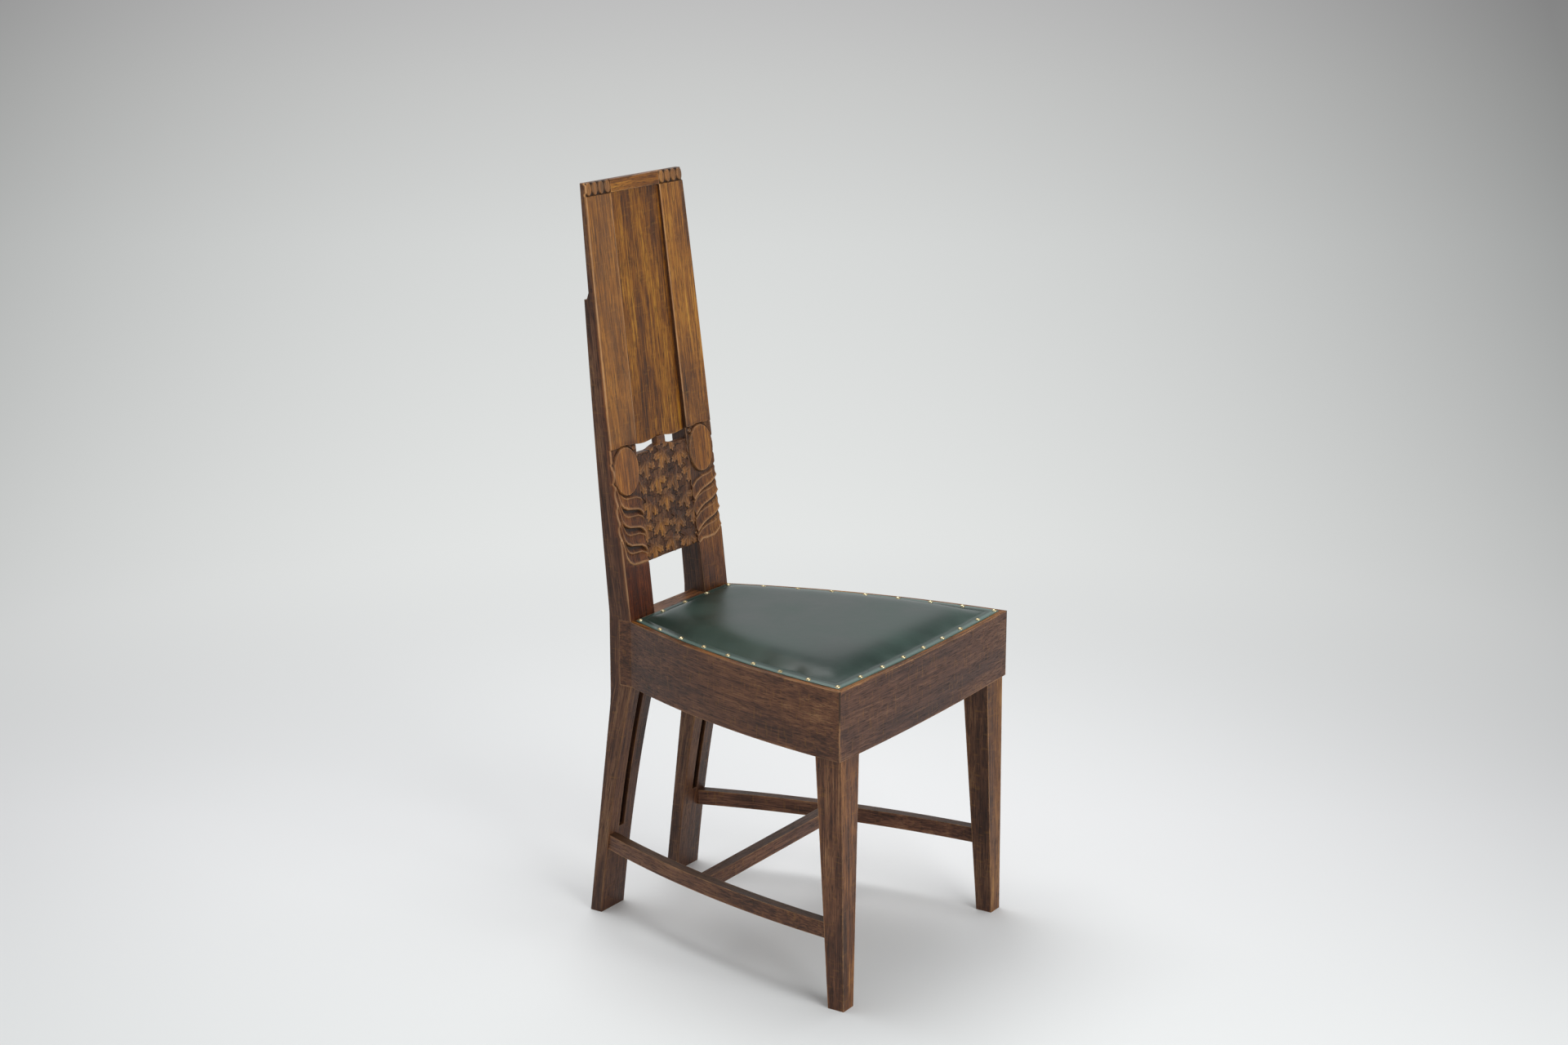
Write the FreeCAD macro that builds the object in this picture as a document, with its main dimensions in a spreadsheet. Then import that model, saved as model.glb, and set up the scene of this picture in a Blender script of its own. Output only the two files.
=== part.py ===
import FreeCAD, Part
import math
import os

import Sketcher
from FreeCAD import Vector

# High backed oak chair with a nailed leather seat.
# X runs across the chair, Y from its front to its back and Z up from the floor.
# Sizes are in millimetres. Inside the pieces Y starts at the middle of the front rail.

document = FreeCAD.newDocument("wainscot_chair")

# Driving dimensions, one cell each: name, value, what it is
driving_sizes = [
    ("seat_height", 460.0, "top of the seat rails above the floor"),
    ("seat_width", 455.4, "over the two front corners of the seat"),
    ("seat_depth", 427.5, "middle of the front rail to the front of the posts"),
    ("front_bow", 6.5, "swell of the front rail beyond its corners"),
    ("side_bow", 18.5, "swell of a side rail beyond its ends"),
    ("rail_height", 98.0, "seat rails from top to bottom"),
    ("rail_thickness", 25.0, "front and side rails"),
    ("rear_rail_thickness", 26.5, "rear rail between the posts"),
    ("shelf_depth", 24.0, "shelf of the rear rail in front of the posts"),
    ("shelf_height", 45.0, "shelf of the rear rail from top to bottom"),
    ("lap_length", 21.0, "side rail lapped over the outer side of a post"),
    ("lap_thickness", 12.0, "lapped tongue of a side rail"),
    ("rabbet_width", 9.0, "step along the inner top edge of the rails"),
    ("rabbet_depth", 4.0, "step along the inner top edge of the rails"),
    ("back_foot_width", 248.8, "over the posts at the floor"),
    ("back_seat_width", 244.4, "over the posts at the seat"),
    ("back_top_width", 230.4, "over the posts at the top"),
    ("gap_foot", 137.2, "between the posts at the floor"),
    ("gap_seat", 127.4, "between the posts at the seat"),
    ("gap_top", 115.2, "between the posts at the top"),
    ("post_depth", 38.5, "post from front to rear at the seat"),
    ("post_foot_depth", 20.2, "post from front to rear at the floor"),
    ("foot_rake", 41.8, "how far the foot of a post stands behind its knee"),
    ("knee_drop", 25.0, "where the rear of the leg turns upright, below the rails"),
    ("hip_rise", 10.0, "where the rear of the post turns back, above the seat"),
    ("leg_hollow", 6.0, "hollow of the front of the rear leg"),
    ("back_lean", 74.4, "how far the top leans behind the seat"),
    ("shoulder_drop", 162.4, "step in the rear of the post, below its top"),
    ("shoulder_depth", 21.0, "post just below the step"),
    ("head_depth", 12.5, "post just above the step"),
    ("head_top_depth", 9.5, "post at its top"),
    ("stile_swell", 3.5, "swell of the outer side of a stile beyond its ends"),
    ("slot_width", 12.0, "slot down the front of the rear leg"),
    ("slot_depth", 9.0, "slot down the front of the rear leg"),
    ("slot_bottom", 132.0, "lower end of that slot above the floor"),
    ("leg_top_width", 44.4, "front leg below the rail, across"),
    ("leg_top_depth", 41.2, "front leg below the rail, front to rear"),
    ("leg_foot_width", 25.0, "front leg at the floor, across"),
    ("leg_foot_depth", 25.3, "front leg at the floor, front to rear"),
    ("leg_side_inset", 7.0, "front leg inside the corner of the seat, sideways"),
    ("leg_front_inset", 1.5, "front leg behind the corner of the seat"),
    ("leg_drift", 2.0, "how far the outer side of the front leg leans in at the floor"),
    ("leg_splay", 5.0, "how far the front leg leans forward at the floor"),
    ("stub_drop", 6.0, "top of the leg inside the rails, below their top"),
    ("stretcher_top", 124.4, "top of the stretchers above the floor"),
    ("stretcher_height", 23.0, "side stretcher, top to bottom"),
    ("stretcher_width", 16.0, "side stretcher, across"),
    ("stretcher_bow", 16.0, "swell of a side stretcher beyond its ends"),
    ("stretcher_inset", 2.0, "side stretcher inside the outer side of the legs"),
    ("housing_depth", 13.0, "end of a stretcher let into a leg"),
    ("cross_place", 267.0, "middle of the cross stretcher behind the front rail"),
    ("cross_width", 18.0, "cross stretcher, front to rear"),
    ("cross_height", 20.5, "cross stretcher, top to bottom"),
    ("cross_tenon_length", 9.0, "tenon of the cross stretcher"),
    ("cross_tenon_height", 11.0, "tenon of the cross stretcher"),
    ("cross_tenon_width", 8.0, "tenon of the cross stretcher"),
    ("rear_tenon_length", 22.0, "tenon of the rear rail"),
    ("rear_tenon_height", 72.0, "tenon of the rear rail"),
    ("rear_tenon_width", 9.0, "tenon of the rear rail"),
    ("crest_height", 18.0, "crest rail, top to bottom"),
    ("crest_tenon_length", 16.0, "tenon of the crest rail"),
    ("crest_tenon_width", 3.6, "tenon of the crest rail"),
    ("crest_shoulder", 3.0, "shoulder over the tenon of the crest rail"),
    ("panel_top_recess", 3.8, "panel behind the face of the posts at the crest rail"),
    ("panel_low_recess", 7.0, "panel behind the face of the posts at its lower edge"),
    ("panel_thickness", 4.0, "panel and its tongues"),
    ("panel_tongue", 5.0, "side of the panel let into the posts"),
    ("panel_top_tongue", 4.0, "top of the panel let into the crest rail"),
    ("panel_height", 357.4, "panel between its windows and the crest rail"),
    ("window_height", 16.0, "windows between the panel and the splat, at the posts"),
    ("panel_dip", 4.0, "hang of the lower edge of the panel beside the neck"),
    ("splat_recess", 1.5, "carved splat behind the face of the posts"),
    ("splat_thickness", 12.0, "carved splat"),
    ("splat_height", 156.0, "carved splat at the posts"),
    ("hand_height", 75.0, "opening between the seat rails and the carved splat"),
    ("splat_rise", 5.0, "rise of the top of the splat towards its neck"),
    ("splat_tenon_length", 12.0, "tenons of the carved splat"),
    ("splat_tenon_width", 6.0, "tenons of the carved splat"),
    ("splat_tenon_margin", 10.0, "shoulder above and below a tenon of the splat"),
    ("neck_width", 18.0, "neck between the two windows"),
    ("neck_tenon_width", 12.0, "tenon of the panel in the neck"),
    ("neck_tenon_length", 6.0, "tenon of the panel in the neck"),
    ("oval_width", 54.0, "raised oval on the face of a post"),
    ("oval_height", 66.0, "raised oval on the face of a post"),
    ("oval_drop", 16.5, "middle of the oval below the top of the splat"),
    ("oval_rise", 1.5, "oval proud of the face of the post"),
    ("bead_width", 13.0, "bead on the top of a post"),
    ("bead_margin", 1.0, "plain wood above and below a bead"),
    ("bead_rise", 1.0, "bead proud of the face of the post"),
    ("block_leg", 34.0, "corner block along each rail"),
    ("block_height", 40.0, "corner block, top to bottom"),
    ("block_drop", 14.0, "top of a corner block below the top of the rails"),
    ("screw_diameter", 4.2, "corner block screw"),
    ("screw_length", 32.0, "corner block screw"),
    ("screw_head", 8.0, "head of a corner block screw"),
    ("screw_head_height", 2.5, "head of a corner block screw"),
    ("webbing_width", 50.0, "seat webbing"),
    ("webbing_thickness", 1.2, "seat webbing"),
    ("webbing_gap", 26.0, "between neighbouring strips of webbing"),
    ("hessian_thickness", 0.8, "hessian over the webbing"),
    ("cloth_margin", 1.0, "webbing and hessian clear of the step in the rails"),
    ("leather_thickness", 1.6, "leather cover"),
    ("leather_rim", 9.0, "bare wood between the leather and the edge of the rails"),
    ("leather_rear_gap", 4.0, "bare wood between the leather and the posts"),
    ("border_width", 17.0, "flat nailed border of the leather"),
    ("crown_height", 14.0, "rise of the middle of the seat above its border"),
    ("crown_shoulder", 34.0, "width over which the stuffing rises steeply"),
    ("crown_overlap", 3.0, "how far the curve of the crown starts outside the border"),
    ("nail_head", 7.6, "head of a brass nail"),
    ("nail_dome", 2.6, "height of the head of a brass nail"),
    ("nail_shank", 1.4, "square shank of a brass nail"),
    ("nail_length", 13.0, "shank of a brass nail"),
    ("nail_inset", 4.6, "middle of a nail from the edge of the leather"),
    ("fit", 0.2, "clearance round a tenon and in a groove"),
    ("cloth_gap", 0.3, "clearance beside curved faces, cloth and leather"),
    ("overrun", 30.0, "how far a cutter runs past the piece that it cuts"),
]

front_nails = 9
side_nails = 9
rear_nails = 5
post_beads = 4
webbing_strips = 4
nail_facets = 8
nail_rings = 2
crown_stations = 7

# How far a quarter of an oval swells beyond its chord, as a share of its height
oval_swell_share = 0.131

# Rise of the stuffing at its edge, within its shoulder and at its shoulder, as shares of
# the crown, and how far in the middle one of them lies, as a share of the shoulder
end_share = 0.04
bend_share = 0.42
shoulder_share = 0.66
bend_place_share = 0.4
# The larger it is, the flatter is the middle of the crown from front to rear
crown_power = 3.5


class Size:
    """A length that knows its value and the expression that gives it."""

    def __init__(self, value, text):
        self.value = float(value)
        self.text = text

    def joined(self, other, sign, value):
        text = other.text if isinstance(other, Size) else repr(other)
        return Size(value, f"({self.text} {sign} {text})")

    def __float__(self):
        return self.value

    def __add__(self, other):
        return self.joined(other, "+", self.value + float(other))

    def __sub__(self, other):
        return self.joined(other, "-", self.value - float(other))

    def __mul__(self, other):
        return self.joined(other, "*", self.value * float(other))

    def __truediv__(self, other):
        return self.joined(other, "/", self.value / float(other))

    def __rsub__(self, other):
        return Size(float(other) - self.value, f"({other!r} - {self.text})")

    def __neg__(self):
        return 0 - self


def root(size):
    return Size(math.sqrt(size.value), f"sqrt({size.text})")


zero = Size(0, "0")


sheet = document.addObject("Spreadsheet::Sheet", "Sizes")
places = document.addObject("Spreadsheet::Sheet", "Places")
size = {}
for row, (name, value, note) in enumerate(driving_sizes, start=1):
    sheet.set(f"A{row}", note)
    sheet.set(f"B{row}", str(value))
    sheet.setAlias(f"B{row}", name)
    size[name] = Size(value, f"Sizes.{name}")
document.recompute()


def place(name, worked):
    """Keep a place that is worked out from the driving dimensions under a name."""
    row = len(size) - len(driving_sizes) + 1
    places.set(f"B{row}", f"={worked.text}")
    places.setAlias(f"B{row}", name)
    size[name] = Size(worked.value, f"Places.{name}")
    return size[name]


seat_height = size["seat_height"]
seat_depth = size["seat_depth"]
rail_height = size["rail_height"]
rail_thickness = size["rail_thickness"]
stretcher_top = size["stretcher_top"]
fit = size["fit"]
gap = size["cloth_gap"]
overrun = size["overrun"]

rail_bottom = place("rail_bottom", seat_height - rail_height)
rabbet_floor = place("rabbet_floor", seat_height - size["rabbet_depth"])
half_seat = place("half_seat", size["seat_width"] / 2)
half_back = place("half_back", size["back_seat_width"] / 2)
half_gap = place("half_gap", size["gap_seat"] / 2)
post_rear = place("post_rear", seat_depth + size["post_depth"])
splat_low = place("splat_low", seat_height + size["hand_height"])
splat_top = place("splat_top", splat_low + size["splat_height"])
panel_bottom = place("panel_bottom", splat_top + size["window_height"])
crest_bottom = place("crest_bottom", panel_bottom + size["panel_height"])
chair_height = place("chair_height", crest_bottom + size["crest_height"])
shoulder_height = place("shoulder_height", chair_height - size["shoulder_drop"])
knee_height = place("knee_height", rail_bottom - size["knee_drop"])
chair_depth = place("chair_depth", seat_depth + size["back_lean"] + size["head_top_depth"])
to_middle = place("to_middle", -(chair_depth / 2))
back_rise = place("back_rise", chair_height - seat_height)
lean = place("lean", size["back_lean"] / back_rise)


def post_front(height):
    """Where the face of the back stands at a height above the seat."""
    return seat_depth + lean * (height - seat_height)


def along_leg(foot, top, height):
    """A size that runs evenly from its value at the floor to its value under the rails."""
    return foot + (top - foot) * height / rail_bottom


def along_back(seat, top, height):
    """A size that runs evenly from its value at the seat to its value at the top."""
    return seat + (top - seat) * (height - seat_height) / back_rise


class Bow:
    """An arc in plan that swells away from the middle of the chair."""

    def __init__(self, name, start, end, bow, side):
        run_x = end[0] - start[0]
        run_y = end[1] - start[1]
        chord = place(name + "_chord", root(run_x * run_x + run_y * run_y))
        self.radius = place(name + "_radius", (chord * chord / 4 + bow * bow) / (bow * 2))
        turn = place(name + "_turn", (self.radius - bow) / chord)
        self.x = place(name + "_x", (start[0] + end[0]) / 2 - run_y * turn * side)
        self.y = place(name + "_y", (start[1] + end[1]) / 2 + run_x * turn * side)
        self.side = side

    def x_at(self, y, inset):
        """Where the arc, drawn in by an inset, crosses a line across the chair."""
        radius = self.radius - inset
        away = y - self.y
        return self.x + root(radius * radius - away * away) * self.side

    def rise(self, start, end, inset):
        """Rise of the arc, drawn in by an inset, over the chord between two points."""
        run_x = end[0] - start[0]
        run_y = end[1] - start[1]
        radius = self.radius - inset
        return radius - root(radius * radius - (run_x * run_x + run_y * run_y) / 4)


# Sketches and features


def plane(body, role):
    return next(item for item in body.Origin.OriginFeatures if item.Role == role)


def new_body(label):
    body = document.addObject("PartDesign::Body", label)
    body.Label = label
    body.setExpression("Placement.Base.y", to_middle.text)
    return body


def arc_between(start, end, rise, swell):
    """Arc that swells to the left (1) or right (-1) of the way from start to end."""
    chord = end.sub(start)
    radius = (chord.Length**2 / 4 + rise**2) / (2 * rise)
    left = Vector(-chord.y, chord.x, 0).normalize()
    centre = start.add(end).multiply(0.5).sub(left.multiply(swell * (radius - rise)))
    first, last = (end, start) if swell > 0 else (start, end)
    begin = math.atan2(first.y - centre.y, first.x - centre.x)
    finish = math.atan2(last.y - centre.y, last.x - centre.x)
    if finish < begin:
        finish += 2 * math.pi
    return Part.ArcOfCircle(Part.Circle(centre, Vector(0, 0, 1), radius), begin, finish)


def fix_point(sketch, item, end, distances):
    for kind, axis, distance in zip(("DistanceX", "DistanceY"), (-2, -1), distances):
        if isinstance(distance, Size):
            rule = Sketcher.Constraint(kind, -1, 1, item, end, distance.value)
            number = sketch.addConstraint(rule)
            sketch.setExpression(f"Constraints[{number}]", distance.text)
        else:
            sketch.addConstraint(Sketcher.Constraint("PointOnObject", item, end, axis))


def draw(body, name, role, loops, lift=None):
    """Sketch of closed loops. A corner is (x, y), or (x, y, rise, swell) where an arc starts."""
    sketch = body.newObject("Sketcher::SketchObject", name)
    sketch.AttachmentSupport = (plane(body, role), [""])
    sketch.MapMode = "FlatFace"
    if lift is not None:
        sketch.setExpression("AttachmentOffset.Base.z", lift.text)
    for corners in loops:
        following = corners[1:] + corners[:1]
        ends = []
        for corner, after in zip(corners, following):
            start = Vector(float(corner[0]), float(corner[1]), 0)
            end = Vector(float(after[0]), float(after[1]), 0)
            if len(corner) == 2:
                ends.append((sketch.addGeometry(Part.LineSegment(start, end), False), 1, 2))
            else:
                arc = arc_between(start, end, float(corner[2]), corner[3])
                item = sketch.addGeometry(arc, False)
                ends.append((item, 2, 1) if corner[3] > 0 else (item, 1, 2))
        for (item, begin, finish), (after, after_begin, last) in zip(ends, ends[1:] + ends[:1]):
            sketch.addConstraint(Sketcher.Constraint("Coincident", item, finish, after, after_begin))
        for (item, begin, finish), corner, after in zip(ends, corners, following):
            fix_point(sketch, item, begin, corner[:2])
            if len(corner) == 4:
                run_x = after[0] - corner[0]
                run_y = after[1] - corner[1]
                rise = corner[2]
                radius = ((run_x * run_x + run_y * run_y) / 4 + rise * rise) / (rise * 2)
                number = sketch.addConstraint(Sketcher.Constraint("Radius", item, radius.value))
                sketch.setExpression(f"Constraints[{number}]", radius.text)
    document.recompute()
    return sketch


def raise_or_cut(body, kind, name, role, loops, length, lift=None, centred=False, backwards=False):
    before = body.Shape.Volume if body.Tip else 0
    sketch = draw(body, name + "_outline", role, loops, lift)
    feature = body.newObject(f"PartDesign::{kind}", name)
    feature.Profile = sketch
    feature.setExpression("Length", length.text)
    feature.Midplane = centred
    feature.Reversed = backwards
    document.recompute()
    changed = body.Shape.Volume - before
    if (changed > 0) != (kind == "Pad"):
        raise RuntimeError(f"{name} changes nothing")
    return feature


def pad(body, name, role, loops, length, **ways):
    return raise_or_cut(body, "Pad", name, role, loops, length, **ways)


def pocket(body, name, role, loops, length, **ways):
    return raise_or_cut(body, "Pocket", name, role, loops, length, **ways)


def frame_round(half_width, low, high):
    """Loop well outside a front view, so that what lies round an outline is cut away."""
    return [
        (-(half_width + overrun), low - overrun),
        (half_width + overrun, low - overrun),
        (half_width + overrun, high + overrun),
        (-(half_width + overrun), high + overrun),
    ]


def block(body, name, kind, low, high):
    """A tenon (Additive) or mortise (Subtractive) between two corners."""
    before = body.Shape.Volume
    feature = body.newObject(f"PartDesign::{kind}Box", name)
    for side, first, last in zip(("Length", "Width", "Height"), low, high):
        feature.setExpression(side, (last - first).text)
    for axis, first in zip("xyz", low):
        feature.setExpression(f"Placement.Base.{axis}", first.text)
    document.recompute()
    changed = body.Shape.Volume - before
    if (changed > 0) != (kind == "Additive"):
        raise RuntimeError(f"{name} changes nothing")
    return feature


def sided(side, near, far):
    """Two distances from the middle of the chair, in rising order on either side."""
    return (near, far) if side > 0 else (-far, -near)


# Shared lines

corner_y = size["front_bow"]
front_inner_x = place("front_inner_x", half_seat - rail_thickness)
front_inner_y = place("front_inner_y", corner_y + rail_thickness)
side_bow = {}
for side, word in ((-1, "left"), (1, "right")):
    start = (half_seat * side, corner_y)
    end = (half_back * side, seat_depth)
    side_bow[side] = Bow(f"rail_{word}", start, end, size["side_bow"], side)
shelf_front = place("shelf_front", seat_depth - size["shelf_depth"])

foot_rear = place("foot_rear", post_rear + size["foot_rake"])
foot_front = place("foot_front", foot_rear - size["post_foot_depth"])

leg_outer_top = place("leg_outer_top", half_seat - size["leg_side_inset"])
leg_outer_foot = place("leg_outer_foot", leg_outer_top - size["leg_drift"])
leg_front = place("leg_front", corner_y + size["leg_front_inset"])
leg_rear_top = place("leg_rear_top", leg_front + size["leg_top_depth"])
leg_foot_front = place("leg_foot_front", leg_front - size["leg_splay"])
leg_foot_rear = place("leg_foot_rear", leg_foot_front + size["leg_foot_depth"])
leg_inner_top = place("leg_inner_top", leg_outer_top - size["leg_top_width"])
leg_inner_foot = place("leg_inner_foot", leg_outer_foot - size["leg_foot_width"])

# Where the side stretchers meet the legs
stretcher_bottom = place("stretcher_bottom", stretcher_top - size["stretcher_height"])
outer_foot = size["back_foot_width"] / 2
stretcher_front_x = place(
    "stretcher_front_x",
    along_leg(leg_outer_foot, leg_outer_top, stretcher_top) - size["stretcher_inset"],
)
stretcher_rear_x = place(
    "stretcher_rear_x",
    along_leg(outer_foot, half_back, stretcher_top) - size["stretcher_inset"],
)
stretcher_front_y = place(
    "stretcher_front_y",
    along_leg(leg_foot_rear, leg_rear_top, stretcher_top),
)
leg_climb = place("leg_climb", stretcher_top / rail_bottom)
stretcher_rear_y = place(
    "stretcher_rear_y",
    along_leg(foot_front, seat_depth, stretcher_top)
    + size["leg_hollow"] * leg_climb * (leg_climb * -1 + 1) * 4
    - gap,
)

# Where the panel and the splat stand in the back
panel_half = place(
    "panel_half",
    along_back(size["gap_seat"], size["gap_top"], panel_bottom) / 2 + size["panel_tongue"],
)
panel_top = place("panel_top", crest_bottom + size["panel_top_tongue"])
panel_drift = place(
    "panel_drift",
    (size["panel_top_recess"] - size["panel_low_recess"]) / (crest_bottom - panel_bottom),
)
splat_half = place(
    "splat_half",
    along_back(size["gap_seat"], size["gap_top"], splat_low) / 2 + size["splat_tenon_length"],
)
splat_tenon_low = place("splat_tenon_low", splat_low + size["splat_tenon_margin"])
splat_tenon_high = place("splat_tenon_high", splat_top - size["splat_tenon_margin"])
splat_tenon_inset = place(
    "splat_tenon_inset",
    size["splat_recess"] + (size["splat_thickness"] - size["splat_tenon_width"]) / 2,
)
crest_tenon_low = place("crest_tenon_low", panel_top + size["panel_top_tongue"] / 2)
crest_tenon_high = place("crest_tenon_high", chair_height - size["crest_shoulder"])
crest_tenon_inset = place(
    "crest_tenon_inset", (size["head_top_depth"] - size["crest_tenon_width"]) / 2
)


def panel_front(height):
    """Where the face of the panel stands at a height."""
    recess = size["panel_low_recess"] + panel_drift * (height - panel_bottom)
    return post_front(height) + recess


def leaning(low, high, face, inset, thickness, spare):
    """Section, seen from the side, of a board that leans with the back."""
    return [
        (face(low) + inset - spare, low),
        (face(low) + inset + thickness + spare, low),
        (face(high) + inset + thickness + spare, high),
        (face(high) + inset - spare, high),
    ]


# Rear posts: leg and stile in one bent piece

oval_middle = place("oval_middle", splat_top - size["oval_drop"])


def oval_loop(x, z, half_width, half_height):
    """Oval of four arcs round a middle."""
    swell = half_height * 2 * oval_swell_share
    return [
        (x - half_width, z, swell, 1),
        (x, z + half_height, swell, 1),
        (x + half_width, z, swell, 1),
        (x, z - half_height, swell, 1),
    ]


def raise_carving(body, name, side, loops, low, high, rise):
    """Raise loops, drawn as a front view, off the leaning face of a post."""
    root_y = post_front(high) + size["head_top_depth"] / 2
    length = root_y - post_front(low) + rise + overrun
    pad(body, name, "XZ_Plane", loops, length, lift=-root_y)
    spare = [
        (post_front(low) - rise - overrun * 2, low - rise),
        (post_front(low - rise) - rise, low - rise),
        (post_front(high + rise) - rise, high + rise),
        (post_front(low) - rise - overrun * 2, high + rise),
    ]
    near, far = sided(side, size["gap_top"] / 2 - overrun, half_back + overrun)
    pocket(body, name + "_face", "YZ_Plane", [spare], far - near, lift=near, backwards=True)


def build_post(side, label):
    body = new_body(label)
    seat_rear_turn = place(label + "_turn", seat_height + size["hip_rise"])
    profile = [
        (foot_front, 0),
        (foot_rear, 0),
        (post_rear, knee_height),
        (post_rear, seat_rear_turn),
        (post_front(shoulder_height) + size["shoulder_depth"], shoulder_height),
        (post_front(shoulder_height) + size["head_depth"], shoulder_height),
        (post_front(chair_height) + size["head_top_depth"], chair_height),
        (post_front(chair_height), chair_height),
        (seat_depth, seat_height),
        (seat_depth, rail_bottom, size["leg_hollow"], -1),
    ]
    reach = half_back + outer_foot
    near, far = sided(side, zero, reach)
    pad(body, label + "_profile", "YZ_Plane", [profile], far - near, lift=near)

    outer = [outer_foot, half_back, half_back, size["back_top_width"] / 2]
    inner = [size["gap_foot"] / 2, half_gap, half_gap, size["gap_top"] / 2]
    heights = [0, rail_bottom, seat_height, chair_height]
    face = [(x * side, z) for x, z in zip(outer, heights)]
    face[2] += (size["stile_swell"], -side)
    face += [(x * side, z) for x, z in reversed(list(zip(inner, heights)))]
    surround = frame_round(reach, zero, chair_height)
    pocket(body, label + "_taper", "XZ_Plane", [surround, face], foot_rear + overrun)

    # Raised oval beside the splat, and beads at the top
    seat_sum = size["gap_seat"] + size["back_seat_width"]
    top_sum = size["gap_top"] + size["back_top_width"]
    middle = along_back(seat_sum, top_sum, oval_middle) / 4
    oval = oval_loop(middle * side, oval_middle, size["oval_width"] / 2, size["oval_height"] / 2)
    low = oval_middle - size["oval_height"] / 2
    high = oval_middle + size["oval_height"] / 2
    raise_carving(body, label + "_oval", side, [oval], low, high, size["oval_rise"])
    near = along_back(size["gap_seat"], size["gap_top"], crest_bottom) / 2
    far = along_back(size["back_seat_width"], size["back_top_width"], chair_height) / 2
    low = crest_bottom + size["bead_margin"]
    high = chair_height - size["bead_margin"]
    beads = []
    for index in range(post_beads):
        x = near + (far - near) * ((index + 0.5) / post_beads)
        swell = size["bead_width"] / 2
        beads.append([(x * side, low, swell, -1), (x * side, high, swell, -1)])
    raise_carving(body, label + "_beads", side, beads, low, high, size["bead_rise"])

    # The side rail is lapped over the outer side
    low_x, high_x = sided(side, half_back - size["lap_thickness"], half_back + overrun)
    block(
        body,
        label + "_lap",
        "Subtractive",
        (low_x, seat_depth - overrun, rail_bottom),
        (high_x, seat_depth + size["lap_length"], seat_height),
    )

    # Mortise of the rear rail
    middle_y = seat_depth + size["rear_rail_thickness"] / 2
    middle_z = seat_height - rail_height / 2
    half_width = size["rear_tenon_width"] / 2 + fit
    half_height = size["rear_tenon_height"] / 2 + fit
    low_x, high_x = sided(side, half_gap - overrun, half_gap + size["rear_tenon_length"] + fit)
    block(
        body,
        label + "_rail_mortise",
        "Subtractive",
        (low_x, middle_y - half_width, middle_z - half_height),
        (high_x, middle_y + half_width, middle_z + half_height),
    )

    # Housing of the side stretcher
    low_x, high_x = sided(
        side, stretcher_rear_x - size["stretcher_width"] - fit, stretcher_rear_x + fit
    )
    block(
        body,
        label + "_housing",
        "Subtractive",
        (low_x, stretcher_rear_y - overrun, stretcher_bottom - fit),
        (high_x, stretcher_rear_y + size["housing_depth"] + fit, stretcher_top + fit),
    )

    # Slot down the front of the leg
    slot_low = size["slot_bottom"]
    slot = [
        (along_leg(foot_front, seat_depth, slot_low) - overrun, slot_low),
        (along_leg(foot_front, seat_depth, slot_low) + size["slot_depth"] + size["leg_hollow"], slot_low),
        (seat_depth + size["slot_depth"], rail_bottom),
        (seat_depth - overrun, rail_bottom),
    ]
    slot_middle = (along_leg(outer_foot, half_back, slot_low) + half_gap) / 2
    slot_near, slot_far = sided(
        side, slot_middle - size["slot_width"] / 2, slot_middle + size["slot_width"] / 2
    )
    pocket(
        body, label + "_slot", "YZ_Plane", [slot], slot_far - slot_near, lift=slot_near, backwards=True
    )

    # Groove of the panel and mortises of the splat and the crest rail
    cuts = [
        (
            "_groove",
            leaning(
                panel_bottom - size["panel_dip"] - fit,
                panel_top + fit,
                panel_front,
                zero,
                size["panel_thickness"],
                fit,
            ),
            panel_half + fit,
        ),
        (
            "_splat_mortise",
            leaning(
                splat_tenon_low - fit,
                splat_tenon_high + fit,
                post_front,
                splat_tenon_inset,
                size["splat_tenon_width"],
                fit,
            ),
            splat_half + fit,
        ),
        (
            "_crest_mortise",
            leaning(
                crest_tenon_low - fit,
                crest_tenon_high + fit,
                post_front,
                crest_tenon_inset,
                size["crest_tenon_width"],
                fit,
            ),
            size["gap_top"] / 2 + size["crest_tenon_length"] + fit,
        ),
    ]
    for word, section, reach in cuts:
        near, far = sided(side, size["gap_top"] / 2 - overrun, reach)
        pocket(body, label + word, "YZ_Plane", [section], far - near, lift=near, backwards=True)
    return body


# Back between the posts


def build_crest_rail():
    body = new_body("crest_rail")
    head = size["head_top_depth"]
    growth = (size["head_depth"] - head) * size["crest_height"] / (chair_height - shoulder_height)
    section = [
        (post_front(crest_bottom), crest_bottom),
        (post_front(crest_bottom) + head + growth, crest_bottom),
        (post_front(chair_height) + head, chair_height),
        (post_front(chair_height), chair_height),
    ]
    pad(body, "crest_rail_board", "YZ_Plane", [section], size["gap_seat"], centred=True)
    low_half = along_back(size["gap_seat"], size["gap_top"], crest_bottom) / 2
    top_half = size["gap_top"] / 2
    face = [
        (-low_half, crest_bottom),
        (low_half, crest_bottom),
        (top_half, chair_height),
        (-top_half, chair_height),
    ]
    surround = frame_round(half_gap, crest_bottom, chair_height)
    pocket(body, "crest_rail_shoulders", "XZ_Plane", [surround, face], chair_depth + overrun)
    tenon = leaning(
        crest_tenon_low,
        crest_tenon_high,
        post_front,
        crest_tenon_inset,
        size["crest_tenon_width"],
        zero,
    )
    reach = size["gap_top"] + size["crest_tenon_length"] * 2
    pad(body, "crest_rail_tenons", "YZ_Plane", [tenon], reach, centred=True)
    groove = leaning(
        crest_bottom - overrun,
        panel_top + fit,
        panel_front,
        zero,
        size["panel_thickness"],
        fit,
    )
    pocket(body, "crest_rail_groove", "YZ_Plane", [groove], reach, centred=True)
    return body


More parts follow.
